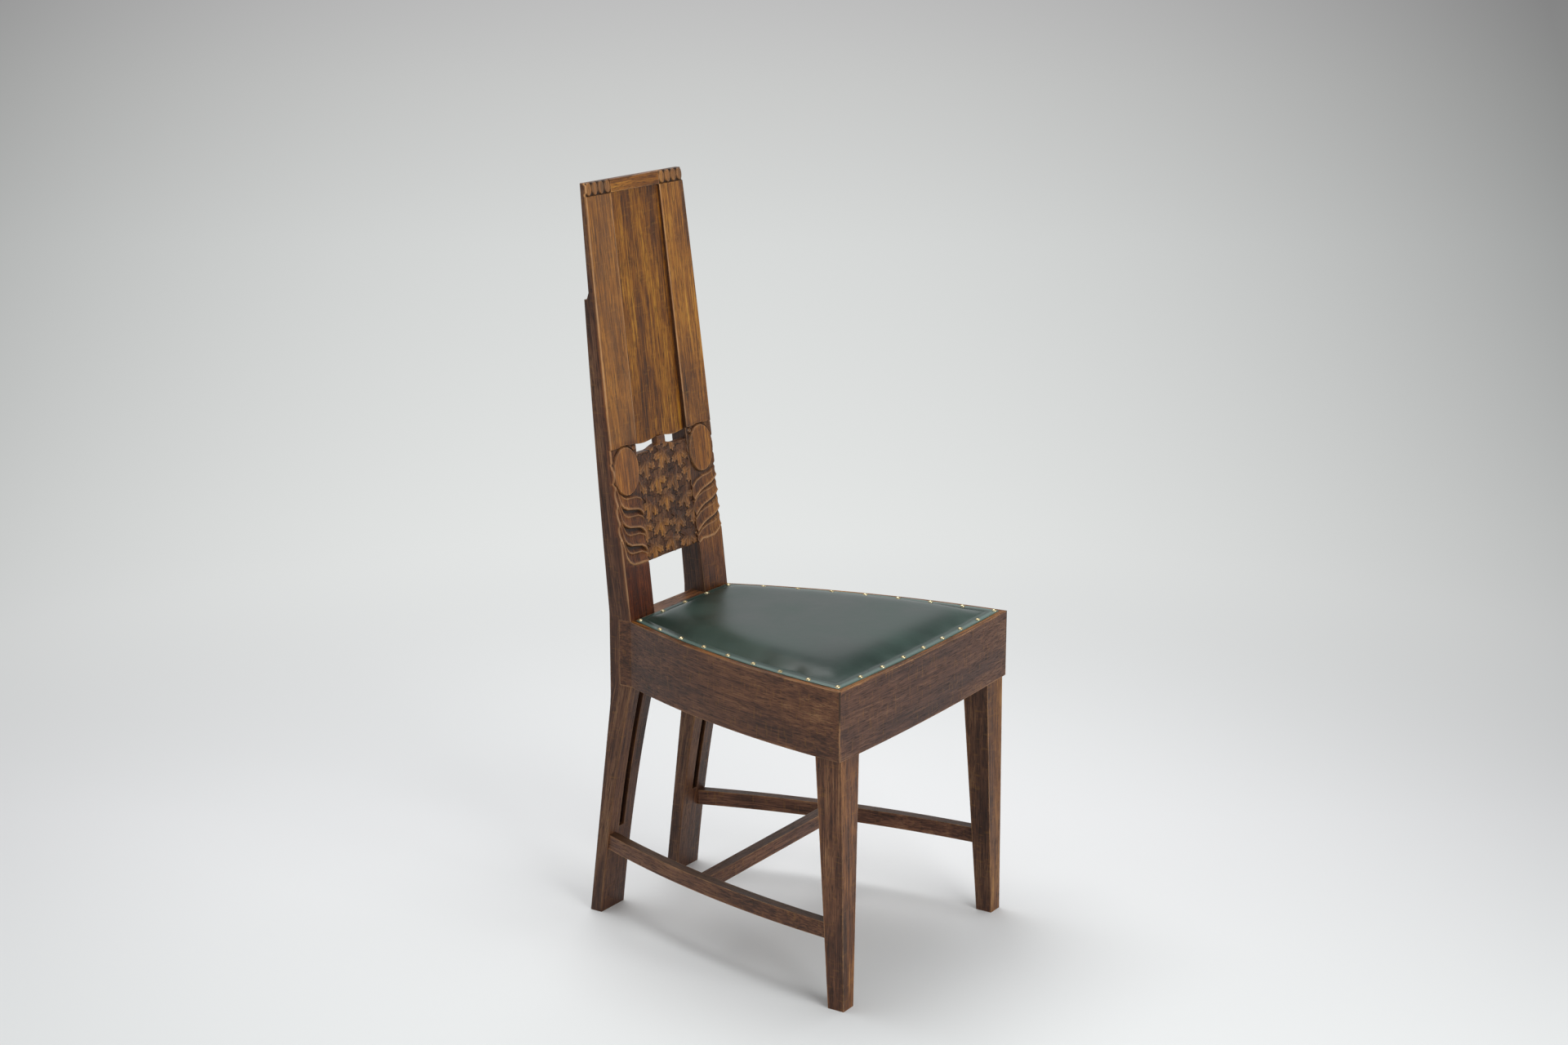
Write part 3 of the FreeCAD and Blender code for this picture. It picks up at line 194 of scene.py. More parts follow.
# Faces of a slab between two like grids, whose points follow each other
def slabFaces(rows, columns, start=0):
    count = rows * columns
    top = rowFaces(rows, columns, False, start)
    loop = edgeLoop(rows, columns, start)
    return top + [tuple(index + count for index in reversed(face)) for face in top] + [
        (a, b, b + count, a + count) for a, b in zip(loop, loop[1:] + loop[:1])]


# Oak, fumed and waxed: straight grain, open pores full of dark wax, faint flecks across the
# grain, cloudy dark patches, and arrises rubbed through to paler wood.

oakLook = {
    "cool": ("#29170e", "#4a2d20", "#684431", "#846046"),
    "warm": ("#2f1705", "#60360f", "#8b561a", "#b5802e"),
    "rampStops": (0.0, 0.36, 0.66, 1.0),
    "worn": "#c4976a", "rubbed": "#80502b", "grimeAndShade": "#180f0b", "topShade": "#33271d",
    "ruddy": "#d99a7c",
    "arris": 1.1, "wornLine": 2.2, "wornBand": 7.0,
    "specular": 0.28, "relief": 0.4, "reliefShare": 0.45,
    "seamWidth": (2.7, 1.4),      # an open joint fades out between these
}
# Length along the grain, width across it, detail, roughness, distortion and shift of each pattern
oakPatterns = {
    "cloud": (220, 46, 2, 0.5, 0.0, 3.1),
    "smudge": (60, 17, 3, 0.6, 0.4, 9.2),
    "streak": (190, 3.8, 4, 0.6, 0.25, 0.0),
    "fibre": (60, 1.7, 2, 0.5, 0.0, 5.9),
    "pore": (14, 1.5, 2, 0.5, 0.0, 7.7),      # real pores are 0.3 mm wide, too fine to show
    "fleck": (3.6, 17, 1, 0.5, 0.0, 1.3),
    "patch": (46, 30, 3, 0.65, 0.0, 5.5),     # where arrises are worn
    "speck": (5, 3.2, 3, 0.7, 0.0, 2.2),
}
figureWeights = {"cloud": 0.27, "smudge": 0.17, "streak": 0.28, "fibre": 0.28}


# Side is the one that has kept its warm colour: Y the front, Z the top
def oak(add, turn=(0, 0, 0), marked=False, warm=0.0, side="", wear=1.0, gloss=0.42,
        tint="#ffffff", warmTint="#ffffff", contrast=1.0, dusty=0.0, seams=()):
    look = oakLook
    place = add("TexCoord", out="Object")
    if marked:
        grain = add("Attribute", attribute_name="grain", out="Vector")
        warm, crest, hollow, ruddy = [add("Attribute", attribute_name=mark, out="Fac")
                                      for mark in ("warmth", "crest", "hollow", "ruddy")]
    else:
        angles = [math.radians(angle) for angle in turn]
        grain = add("Mapping", {"Vector": place, "Rotation": angles})

    noise = {}
    for kind, (along, across, detail, rough, distort, shift) in oakPatterns.items():
        scaled = add("VectorMath", (grain, (1000 / along, 1000 / across, 1000 / across),
                                    (shift, shift, shift)), **addTimes)
        noise[kind] = add("TexNoise", {"Vector": scaled, "Scale": 1.0, "Detail": detail,
                                       "Roughness": rough, "Distortion": distort})
    pore = add("MapRange", (noise["pore"], 0.53, 0.64))
    fleck = add("MapRange", (noise["fleck"], 0.60, 0.72))
    figure = 0.0
    for kind, weight in figureWeights.items():
        figure = add("Math", (noise[kind], weight, figure), **addTimes)
    reach = 0.13 / contrast
    figure = add("MapRange", (figure, 0.5 - reach, 0.5 + reach))
    cool, amber = [add("Mix", {0: 1.0, 6: add("ValToRGB", (figure,), stops=list(
        zip(look["rampStops"], look[kind]))), 7: over}, blend_type="MULTIPLY", **colours)
        for kind, over in (("cool", tint), ("warm", warmTint))]
    flat = add("NewGeometry", out="Normal")
    if side:
        way = -1 if side == "Y" else 1
        warm = add("MapRange", (add("SeparateXYZ", (flat,), out=side), way * 0.35, way * 0.8,
                                0.12, warm))
    colour = add("Mix", {0: warm, 6: cool, 7: amber}, **colours)

    # Arrises: rounded in the shading, with a soft rubbed band and a pale worn line
    rounded, line, band = [add("Bevel", {"Radius": look[kind] / 1000}, samples=4)
                           for kind in ("arris", "wornLine", "wornBand")]
    patch = add("MapRange", (noise["patch"], 0.40, 0.60, 0.25, 1.0))
    speck = add("MapRange", (noise["speck"], 0.44, 0.60, 0.12, 1.0))
    line, band = [add("VectorMath", (value, flat), out="Value", operation="DOT_PRODUCT")
                  for value in (line, band)]
    rub = add("Math", (add("MapRange", (band, 0.998, 0.80, 0.0, 0.75 * wear)),
                       add("Math", (patch, speck), **times)), **times)
    edge = add("Math", (add("MapRange", (line, 0.985, 0.80, 0.0, 0.85 * wear)), patch), **times)
    if marked:
        # Crest: rubbed wear on the posts' carving, a painted highlight on the splat's leaf rims
        crest = add("Math", (crest, add("Math", (patch, 0.35, 0.45), **addTimes)), **times)
        edge = add("Math", (edge, crest), **most)

    # Each layer covers those before it by its share
    layers = [(add("Math", (pore, 0.55), **times), look["grimeAndShade"], "MIX"),
              (add("Math", (fleck, 0.10), **times), look["warm"][3], "MIX")]
    layers += [(ruddy, look["ruddy"], "MULTIPLY")] if marked else []
    layers += [(rub, look["rubbed"], "MIX"), (edge, look["worn"], "MIX")]
    # The hollow mark darkens recesses with this colour: painted shade, with grime
    layers += [(hollow, look["grimeAndShade"], "MIX")] if marked else []
    # Up-facing tops painted darker, as painted shade under the seat
    if dusty:
        upward = add("MapRange", (add("SeparateXYZ", (flat,), out="Z"), 0.4, 0.9, 0.0, dusty))
        layers.append((upward, look["topShade"], "MIX"))
    for x, y, low in seams:         # joints that have opened a little, as dark upright lines
        level = add("VectorMath", (place, (1, 1, 0)), **times)
        away = add("VectorMath", (level, (x / 1000, y / 1000, 0)), out="Value",
                   operation="DISTANCE")
        wide, narrow = look["seamWidth"]
        above = add("MapRange", (add("SeparateXYZ", (place,), out="Z"), low / 1000,
                                 low / 1000 + 0.02, 0.0, 0.85))
        dark = add("Math", (add("MapRange", (away, wide / 1000, narrow / 1000)), above), **times)
        layers.append((dark, look["grimeAndShade"], "MIX"))
    for share, over, kind in layers:
        colour = add("Mix", {0: share, 6: colour, 7: over}, blend_type=kind, **colours)

    rough = add("MapRange", (noise["cloud"], 0.35, 0.65, gloss - 0.05, gloss + 0.07))
    height = add("Math", (add("Math", (noise["streak"], noise["fibre"]), **plus), 0.4), **times)
    relief = add("Bump", {
        "Strength": look["reliefShare"], "Distance": look["relief"] / 1000, "Normal": rounded,
        "Height": add("Math", (pore, -0.9, height), **addTimes)})
    return {"Base Color": colour, "Roughness": add("Math", (pore, 0.12, rough), **addTimes),
            "Normal": relief, "Specular IOR Level": look["specular"]}


upright = (6.8, 90, 0)     # grain up the leaning back
standing = (0, 90, 0)      # grain up the legs
rail = {"side": "Z", "seams": [(-227.7, -249.2, 405), (227.7, -249.2, 400)]}
boards = {
    # The front rail's blue-grey tint is a painted sheen
    "oakFrontRail": (["seat_rail_front"], dict(
        rail, warm=0.7, gloss=0.45, tint="#c8d6fa", contrast=0.8)),
    "oakRailLeft": (["seat_rail_left"], dict(rail, turn=(0, 0, -76), warm=0.8, contrast=0.85)),
    "oakRailRight": (["seat_rail_right"], dict(rail, turn=(0, 0, -104), warm=0.8)),
    "oakRearRail": (["seat_rail_rear"], {"warm": 0.3, "side": "Z"}),
    "oakLeg": (["leg_front_left"], {"turn": standing, "warm": 0.45, "side": "Y", "contrast": 1.15}),
    # The right front leg's darker, bluer tint is painted shade under the seat
    "oakLegRightShaded": (["leg_front_right"], {
        "turn": standing, "warm": 0.45, "side": "Y", "tint": "#c4ccdc"}),
    "oakStretcherLeft": (["stretcher_left"], {
        "turn": (0, 0, -74), "wear": 1.2, "warm": 0.15, "dusty": 0.6}),
    "oakStretcherRight": (["stretcher_right"], {"turn": (0, 0, -106), "wear": 1.2, "dusty": 0.5}),
    "oakCrossStretcher": (["stretcher_cross"], {"dusty": 0.3}),
    "oakCrestRail": (["crest_rail"], {"turn": (6.8, 0, 0), "warm": 0.95, "side": "Y"}),
    "oakPanel": (["back_panel"], {
        "turn": upright, "warm": 1.0, "side": "Y", "contrast": 1.2, "warmTint": "#e8e4d2"}),
    "oakCarved": ([], {"marked": True, "wear": 0.5, "tint": "#e6e8ea", "contrast": 1.15}),
}
oaks = {}
for name, (nodes, details) in boards.items():
    oaks[name] = makeMaterial(name, oak, **details)
    for node in nodes:
        dressNode(node, oaks[name])
print("oak made")


# Corner blocks and screws

# Unpolished beech: pale, close grain, with short darker flecks
def beech(add):
    fine = add("VectorMath", (add("TexCoord", out="Object"), (60, 420, 420)), **times)
    fibre = add("TexNoise", {"Vector": fine, "Scale": 1.0, "Detail": 4.0, "Roughness": 0.6})
    colour = add("ValToRGB", (fibre,), stops=[(0.3, "#94704a"), (0.5, "#b08a60"), (0.7, "#c7a378")])
    rounded = add("Bevel", {"Radius": 0.001}, samples=4)
    relief = add("Bump", {"Strength": 0.3, "Distance": 0.0003, "Height": fibre, "Normal": rounded})
    return {"Base Color": colour, "Roughness": 0.62, "Normal": relief}


# Dull steel, turned: fine marks and a little rust in patches
def steel(add):
    marks, stain = [add("TexNoise", {"Vector": add("TexCoord", out="Object"), "Scale": scale,
                                     "Detail": 3.0}) for scale in (900.0, 160.0)]
    colour = add("ValToRGB", (stain,), stops=[(0.42, "#8b8985"), (0.62, "#6d5a4a")])
    rough = add("MapRange", (marks, 0.0, 1.0, 0.35, 0.6))
    return {"Base Color": colour, "Metallic": 1.0, "Roughness": rough}


blockWood = makeMaterial("beechBlock", beech)
for end in ("front", "rear"):
    for side in ("left", "right"):
        dressNode(f"corner_block_{end}_{side}", blockWood)
dressNode("corner_block_screws", makeMaterial("steelScrew", steel))


# Rear posts: bent leg and carved stile in one piece

post = {
    "outer": [(0, 124.4), (362, 122.2), (460, 122.2), (1082.4, 115.2)],
    "inner": [(0, 68.6), (362, 63.7), (460, 63.7), (1082.4, 57.6)],
    "rear": [(0, 507.8), (337, 466.0), (470, 466.0), (920, 503.49), (920.1, 494.99),
             (1082.4, 511.4)],
    "swell": 3.5,             # swell of the outer side of a stile
    "footFront": 487.6,
    "hollow": 6.0,            # hollow of the front of the leg
    "arris": 1.1,             # arrises eased by hand
    "outerRound": {-1: 2.6, 1: 1.3}, "roundAbove": 480.0,   # the left one is rubbed rounder
    "faceColumns": 78,
    "slot": (87.65, 99.65),   # slot down the front of the leg
    "slotDepth": 9.0, "slotLow": 132.0, "slotColumns": 8,
    "lapInner": 110.2,        # the side rail's tongue takes the outer front corner
    "lapRear": 448.5,
    "boardShift": {-1: 0.0, 1: 1.13},       # each post is from its own board
}
# How the left (-1) and right (1) post have aged, by height: rubbed arrises, warm and ruddy wood;
# innerDark is painted shade on the inner side, and footDark makes the feet darker towards the floor
ageingAndShade = {
    "outerRub": [(40, 0.15), (300, 0.35), (470, 0.5), (500, 0.6), (700, 0.6), (730, 0.85)],
    "innerRub": [(40, 0.1), (300, 0.25), (470, 0.3), (520, 0.25), (712, 0.3), (730, 0.85),
                 (1060, 0.8)],
    "faceWarm": {-1: [(0, 0.06), (470, 0.2), (530, 0.32), (545, 0.5), (640, 0.5), (706, 0.55),
                      (712, 0.95)],
                 1: [(0, 0.06), (470, 0.45), (530, 0.57), (545, 0.5), (640, 0.5), (706, 0.55),
                     (712, 0.95)]},
    "sideWarm": [(460, 0.08), (600, 0.35), (900, 0.45)], "rearWarm": 0.06,
    "innerDark": [(300, 0.1), (470, 0.4)],
    "footDark": [(0, 0.28), (200, 0)],
    "faceRed": [(440, 0.2), (475, 0.85), (530, 0.8), (545, 0.45), (700, 0.35), (712, 0.05)],
    "redShare": {-1: 1.0, 1: 0.35},
    "sideRed": [(440, 0), (480, 0.8), (700, 0.8), (1060, 0.3)],
    "stilePale": {-1: 0.13, 1: 0.05}, "stileLow": 712.0, "paleArris": 716.0,
}
carving = {
    "low": 529.0, "high": 709.0, "step": 0.8,
    "bases": {-1: (538.2, 564.5, 590.8, 617.1), 1: (539.3, 564.7, 590.0, 613.0)},
    # Lines of a wave over its base, by their share of the width from the outer arris inwards
    "thick": {-1: [(0.03, 42), (0.07, 32), (0.09, 27), (0.115, 21), (0.16, 13), (0.25, 6.6),
                   (0.4, 2.0), (0.6, 0), (0.8, -2.2), (0.9, -5.2), (0.96, -8.8), (1, -12.5)],
              1: [(0, 15), (0.1, 9.5), (0.25, 5), (0.45, 2), (0.6, 0), (0.75, -3.5), (0.9, -8.5),
                  (1, -13)]},
    "thin": {-1: [(0.03, 62), (0.12, 40), (0.19, 29.6), (0.25, 22.5), (0.3, 19), (0.4, 16.3),
                  (0.5, 16), (0.6, 15.6), (0.78, 15), (0.94, 11.3), (1, 7)],
             1: [(0, 26), (0.1, 21.5), (0.3, 18.5), (0.57, 17.2), (0.8, 13.5), (1, 5)]},
    "last": {-1: [(0.03, 44), (0.09, 34), (0.13, 26), (0.172, 14), (0.264, 5.9), (0.412, 0.9),
                  (0.573, 0), (0.762, 0), (1, -1.1)],
             1: [(0, 14), (0.1, 7), (0.3, 1), (0.6, 0), (0.83, 0.8), (1, -3.8)]},
    "valley": 3.8, "coveShare": 0.34, "coveDepth": 1.1, "topWave": 26.0,
    "thickWidth": 1.5, "thinWidth": 1.0, "thickRise": 0.6, "thinRise": 0.7, "lowGroove": 0.9,
    "ovalMiddle": 672.6, "ovalWidth": 57.6, "ovalHeight": 69.5, "ovalRise": 1.1,
    "field": 2.5, "ovalGroove": 1.3, "borderGroove": 0.7,
    "knobInset": 7.6, "knobHeight": 702.0, "knobRadius": 3.6, "knobRise": 1.9,
    "beadCount": 4, "beadRise": 1.1, "beadGround": 1.9,
    "crestShare": 0.68,
}


def backShare(height):
    low, high = chair["seatHeight"], chair["top"]
    return np.clip((np.asarray(height, float) - low) / (high - low), 0, 1)


def postFront(height):
    climb = np.clip(np.asarray(height, float) / chair["railBottom"], 0, 1)
    leg = post["footFront"] + (chair["seatDepth"] - post["footFront"]) * climb
    return leg + post["hollow"] * 4 * climb * (1 - climb) + chair["lean"] * backShare(height)


# How far the carving stands off the face of a stile, its rubbed crests, and its hollows darkened as
# painted shade
def stileCarving(side, inset, width, height):
    c = carving
    across = np.clip(1 - inset / width, 0, 1)       # 0 at the outer edge, 1 at the inner
    bases = c["bases"][side]
    thick = [base + table(c["thick" if k else "last"][side], across)
             for k, base in enumerate(bases)]
    thin = [base + table(c["thin"][side], across) for base in bases]
    steep, steepThin = [[np.sqrt(1 + np.minimum(np.gradient(line, inset) ** 2, 30))
                         for line in lines] for lines in (thick, thin)]
    cove = c["coveShare"] * c["valley"]

    # The lowest line closes the waves over the plain stile
    below = (thick[0] - height) / steep[0]
    rise = np.where(below > 0, -c["lowGroove"] * bump(below - 1.8, 1.1), 0)
    crest = np.where(below > 0, bump(below, c["thickWidth"]), 0)
    for k, line in enumerate(thick):
        last = k + 1 == len(thick)
        up = height - line
        over = np.full_like(line, c["topWave"]) if last else thick[k + 1] - line
        band = np.clip(thin[k] - line, 0.6, 0.8 * over)
        share = np.clip(up / band, 0, 1)
        hollow = -cove * share - c["coveDepth"] * 4 * share * (1 - share)
        if last:
            sunk = -cove - (c["field"] + 0.6 - cove) * smoothStep(up - band, 0, 4)
            inside = up >= 0
        else:
            sunk = -c["valley"] * smoothStep((over - up) / steep[k + 1], 0.7, 2.6) * (
                1 - 0.6 * smoothStep((over - up) / np.maximum(over - band, 0.1), 0.3, 1.0))
            inside = (up >= 0) & (up < over)
        ridge = bump(up / steep[k], c["thickWidth"])
        fine = bump((up - band) / steepThin[k], c["thinWidth"]) * smoothStep(across, 0.08, 0.2)
        rise += np.where(inside, np.where(up < band, hollow, sunk), 0)
        rise += c["thickRise"] * ridge + c["thinRise"] * fine
        crest += np.where(up > -2.5, ridge, 0) + 0.8 * fine

    # Sunk field round the oval, up to the border line
    inField = smoothStep(height - thin[-1], 3, 9)
    field = -c["field"] * (1 - smoothStep(height, c["high"] - 2.2, c["high"] - 0.8))
    field = field * (1 - 0.8 * smoothStep(inset, width - 3.0, width - 1.6))
    field = field - c["borderGroove"] * bump(height - (c["high"] - 2.0), 0.8)
    rise = rise * (1 - inField) + field * inField
    crest = crest * (1 - inField)

    ovalX = (inset - width / 2) / (c["ovalWidth"] / 2)
    ovalZ = (height - c["ovalMiddle"]) / (c["ovalHeight"] / 2)
    reach = np.sqrt(ovalX ** 2 + ovalZ ** 2)
    away = (reach - 1) * c["ovalWidth"] / 2         # about the distance outside its rim
    inside = 1 - smoothStep(away, -0.9, 0.5)
    groove = -(c["field"] + c["ovalGroove"]) * bump(away - 1.4, 1.3)
    rise = rise + np.minimum(groove - rise, 0) * bump(away - 1.4, 1.5) * (1 - inside)
    rise = rise * (1 - inside) + (c["ovalRise"] - 0.5 * reach ** 2) * inside
    crest = crest * smoothStep(away, 0.6, 2.0) + 0.55 * bump(away + 0.9, 0.9)
    oval = 1 - smoothStep(away, -1.5, 0)

    # Small round knob beside the oval
    knob = np.sqrt((inset - c["knobInset"]) ** 2 + (height - c["knobHeight"]) ** 2)
    ring = bump(knob - c["knobRadius"] * 0.62, 0.9)
    rise = rise + c["knobRise"] * ring - bump(knob - c["knobRadius"] * 1.35, 0.8)
    crest = crest + 0.5 * ring
    zone = (height > c["low"]) & (height < c["high"])
    rise, crest, oval = [np.where(zone, values, 0) for values in (rise, crest, oval)]

    # Beads along the top
    place = (inset / (width / c["beadCount"])) % 1.0 - 0.5
    low, high = chair["crestLow"], chair["top"]
    up = (height - (low + high + 1.0) / 2) / ((high - low) / 2)
    half = 0.45 * np.sqrt(np.clip(1 - np.abs(up) ** 2.2, 0, 1))
    lens = 1 - smoothStep(np.abs(place) - half, -0.09, 0.03)
    bead = c["beadRise"] * (1 - (place / 0.5) ** 2) * lens - c["beadGround"] * (1 - lens)
    band = smoothStep(height, low - 1.2, low - 0.2)
    rise = rise * (1 - band) + bead * band
    crest = crest + band * lens * (0.3 + 0.3 * bump(np.abs(place) - half, 0.08))
    # Painted shade, with grime, in the deep hollows and between the beads
    hollow = smoothStep(-rise, 1.7, 3.7) * 0.88 + 0.9 * band * (1 - lens)
    return rise, np.clip(c["crestShare"] * crest, 0, 1), np.clip(hollow, 0, 1), oval


def postHeights():
    c, low, high = carving, chair["railBottom"], chair["seatHeight"]
    heights = [*np.linspace(0, 128, 9), post["slotLow"], post["slotLow"] + 0.4]
    heights += [*np.linspace(140, 360, 15), low, low + 0.001, 394, 428, high - 0.001, high]
    heights += [*np.linspace(468, c["low"] - 1, 6)]
    heights += [*np.arange(c["low"], c["high"] + 1.5, c["step"])]
    heights += [*np.linspace(c["high"] + 8, 912, 15), 919.95, 920.05]
    heights += [*np.linspace(930, 1060, 9), *np.arange(1062.4, 1081.9, 0.7)]
    return np.array(heights + [chair["top"] - 0.5, chair["top"]])


# Points of a rounded arris where a side meets the front (1) or the rear (-1)
def arrisPoints(edge, way, face, facing, radius, turns):
    return [(edge - way * radius * (1 - math.cos(turn)), face + facing * radius * (
        1 - math.sin(turn))) for turn in turns]


# Points spread evenly between two others
def pointsBetween(first, last, count):
    shares = [index / (count + 1) for index in range(1, count + 1)]
    return [tuple(a + (b - a) * share for a, b in zip(first, last)) for share in shares]


def makePost(side, label):
    p, columns, radius = post, post["faceColumns"], post["arris"]
    middle, cutColumns = columns // 2, post["slotColumns"]
    lapLow, lapHigh = chair["railBottom"] + 0.0005, chair["seatHeight"] - 0.0005
    frontTurns, rearTurns = (0.0, 0.52, 1.05), (0.0, 0.8, math.pi / 2)
    rings = []
    marks = {"grain": [], "crest": [], "hollow": [], "warmth": [], "ruddy": []}
    for height in postHeights():
        outer, inner = table(p["outer"], height), table(p["inner"], height)
        climb = float(backShare(height))
        outer = outer + p["swell"] * 4 * climb * (1 - climb)
        front, rear = float(postFront(height)), table(p["rear"], height)
        width = outer - inner
        rounding = p["outerRound"][side] if height > p["roundAbove"] else radius
        if height < 400:
            first, second = (edge - inner for edge in p["slot"])
            knots = [0, middle - cutColumns, middle - cutColumns + 1, middle + cutColumns - 1,
                     middle + cutColumns, columns - 1]
            inset = np.interp(np.arange(columns), knots, [
                radius, first, first + 0.3, second - 0.3, second, width - rounding])
        else:
            inset = radius + np.linspace(0, 1, columns) * (width - radius - rounding)
        rise, crest, hollow, oval = stileCarving(side, inset, width, np.full(columns, height))
        depth = -rise
        if p["slotLow"] < height < lapLow:
            cut = np.abs(np.arange(columns) - middle) < cutColumns
            depth = np.where(cut, p["slotDepth"], depth)
            # The slot is painted dark all through, as painted shade in the groove
            hollow = np.where(cut, 1.0, hollow)
        ring = arrisPoints(inner, -1, front + depth[0], 1, radius, frontTurns)
        ring += [(inner + value, front + d) for value, d in zip(inset, depth)]
        corner = arrisPoints(outer, 1, front + depth[-1], 1, rounding, frontTurns[::-1])
        if lapLow < height < lapHigh:
            lapIn, lapRear = p["lapInner"], p["lapRear"]
            ring = [(min(x, lapIn), y) for x, y in ring]
            corner = [(lapIn, front + 0.5), (lapIn, lapRear), (outer, lapRear)]
        ring += corner + pointsBetween((outer, corner[-1][1]), (outer, rear - radius), 4)
        ring += arrisPoints(outer, 1, rear, -1, radius, rearTurns)
        ring += pointsBetween((outer - radius, rear), (inner + radius, rear), 5)
        ring += arrisPoints(inner, -1, rear, -1, radius, rearTurns[::-1])
        ring += pointsBetween((inner, rear - radius), (inner, front + depth[0] + radius), 4)
        if height > chair["top"] - 0.3:
            middleX, middleY = (inner + outer) / 2, (front + rear) / 2
            ring = [(x + (middleX - x) / width, y + np.sign(middleY - y) * 0.3) for x, y in ring]
        rings.append([(side * x, y, height) for x, y in ring])
        run = height / 1000 + p["boardShift"][side]
        marks["grain"] += [(run, side * x / 1000, (y - front) / 1000) for x, y in ring]

        # Marks run from the inner arris over the face to the outer one, then round the rear
        tail = len(ring) - 2 * len(frontTurns) - columns
        outerRub, innerRub, sideWarm, innerDark, foot, sideRed = [
            float(table(ageingAndShade[kind], height)) for kind in (
                "outerRub", "innerRub", "sideWarm", "innerDark", "footDark", "sideRed")]
        faceWarm = float(table(ageingAndShade["faceWarm"][side], height))
        faceRed = float(table(ageingAndShade["faceRed"], height)) * ageingAndShade["redShare"][side]
        crest = np.maximum(crest, ageingAndShade["stilePale"][side] * np.maximum(
            oval, height > ageingAndShade["stileLow"]))
        marks["crest"] += [0.1, innerRub * 0.6, innerRub]
        if height > ageingAndShade["paleArris"]:
            crest[:2] = np.maximum(crest[:2], (innerRub, 0.5 * innerRub))
        marks["crest"] += [*crest, max(outerRub, float(crest[-1])), outerRub * 0.75, 0.1]
        marks["crest"] += [0.0] * tail
        # Hollow: painted shade in the carving, the slot and on the inner side, and the feet darker
        # towards the floor
        marks["hollow"] += [innerDark, foot, foot, *np.maximum(hollow, foot)]
        marks["hollow"] += [foot] * (tail - 1) + [max(innerDark, foot)] * 4
        marks["ruddy"] += [sideRed] + [faceRed] * (columns + 4) + [sideRed, sideRed * 0.5]
        marks["ruddy"] += [0.0] * (tail - 1)
        marks["warmth"] += [sideWarm, faceWarm, faceWarm, *np.maximum(oval, faceWarm)]
        marks["warmth"] += [faceWarm, faceWarm, sideWarm] + [ageingAndShade["rearWarm"]] * tail
    rows, count = len(rings), len(rings[0])
    faces = rowFaces(rows, count, True)
    faces += [tuple(range(count)), tuple(range((rows - 1) * count, rows * count))]
    return makePiece(label, rings, faces, oaks["oakCarved"], marks, sharp=38)


for side, word in ((-1, "left"), (1, "right")):
    finishPiece(makePost(side, f"post_{word}_carved"), "oak_brown", f"post_{word}")
print("posts carved")


# Splat: lobed leaves that lap over each other, with midribs and a tooled ground

splat = {
    "halfLow": 62.97, "halfHigh": 61.4, "tuck": 0.6,   # runs a little into the posts
    "recess": 1.5, "thickness": 12.0,
    "neckHalf": 9.0, "neckTop": 707.6, "neckLow": 696.0, "neckSink": 1.2,
    "columns": 170, "rows": 200,
    "leafAcross": 3, "leafRows": 5, "leafSize": 25.0, "ground": 3.1, "tooling": 0.45,
    # lobes of a leaf: degrees from its hanging tip, and length over the middle one
    "lobes": [(0, 1.0), (58, 0.92), (-58, 0.92), (118, 0.80), (-118, 0.80)],
    "lobeHalf": 0.62, "lobePower": 0.75, "heartSize": 0.42, "jagged": 0.07,
    "ribWidth": 1.2, "ribRise": 0.8, "rimInset": 1.8,
    # groundDark and the outlines are painted shade, and the warm hanging lobes painted light
    "groundWarm": 0.16, "leafWarm": 0.24,              # the rest of the warmth is for hanging lobes
    "groundDark": 0.27, "outlineWidth": 1.5,
}


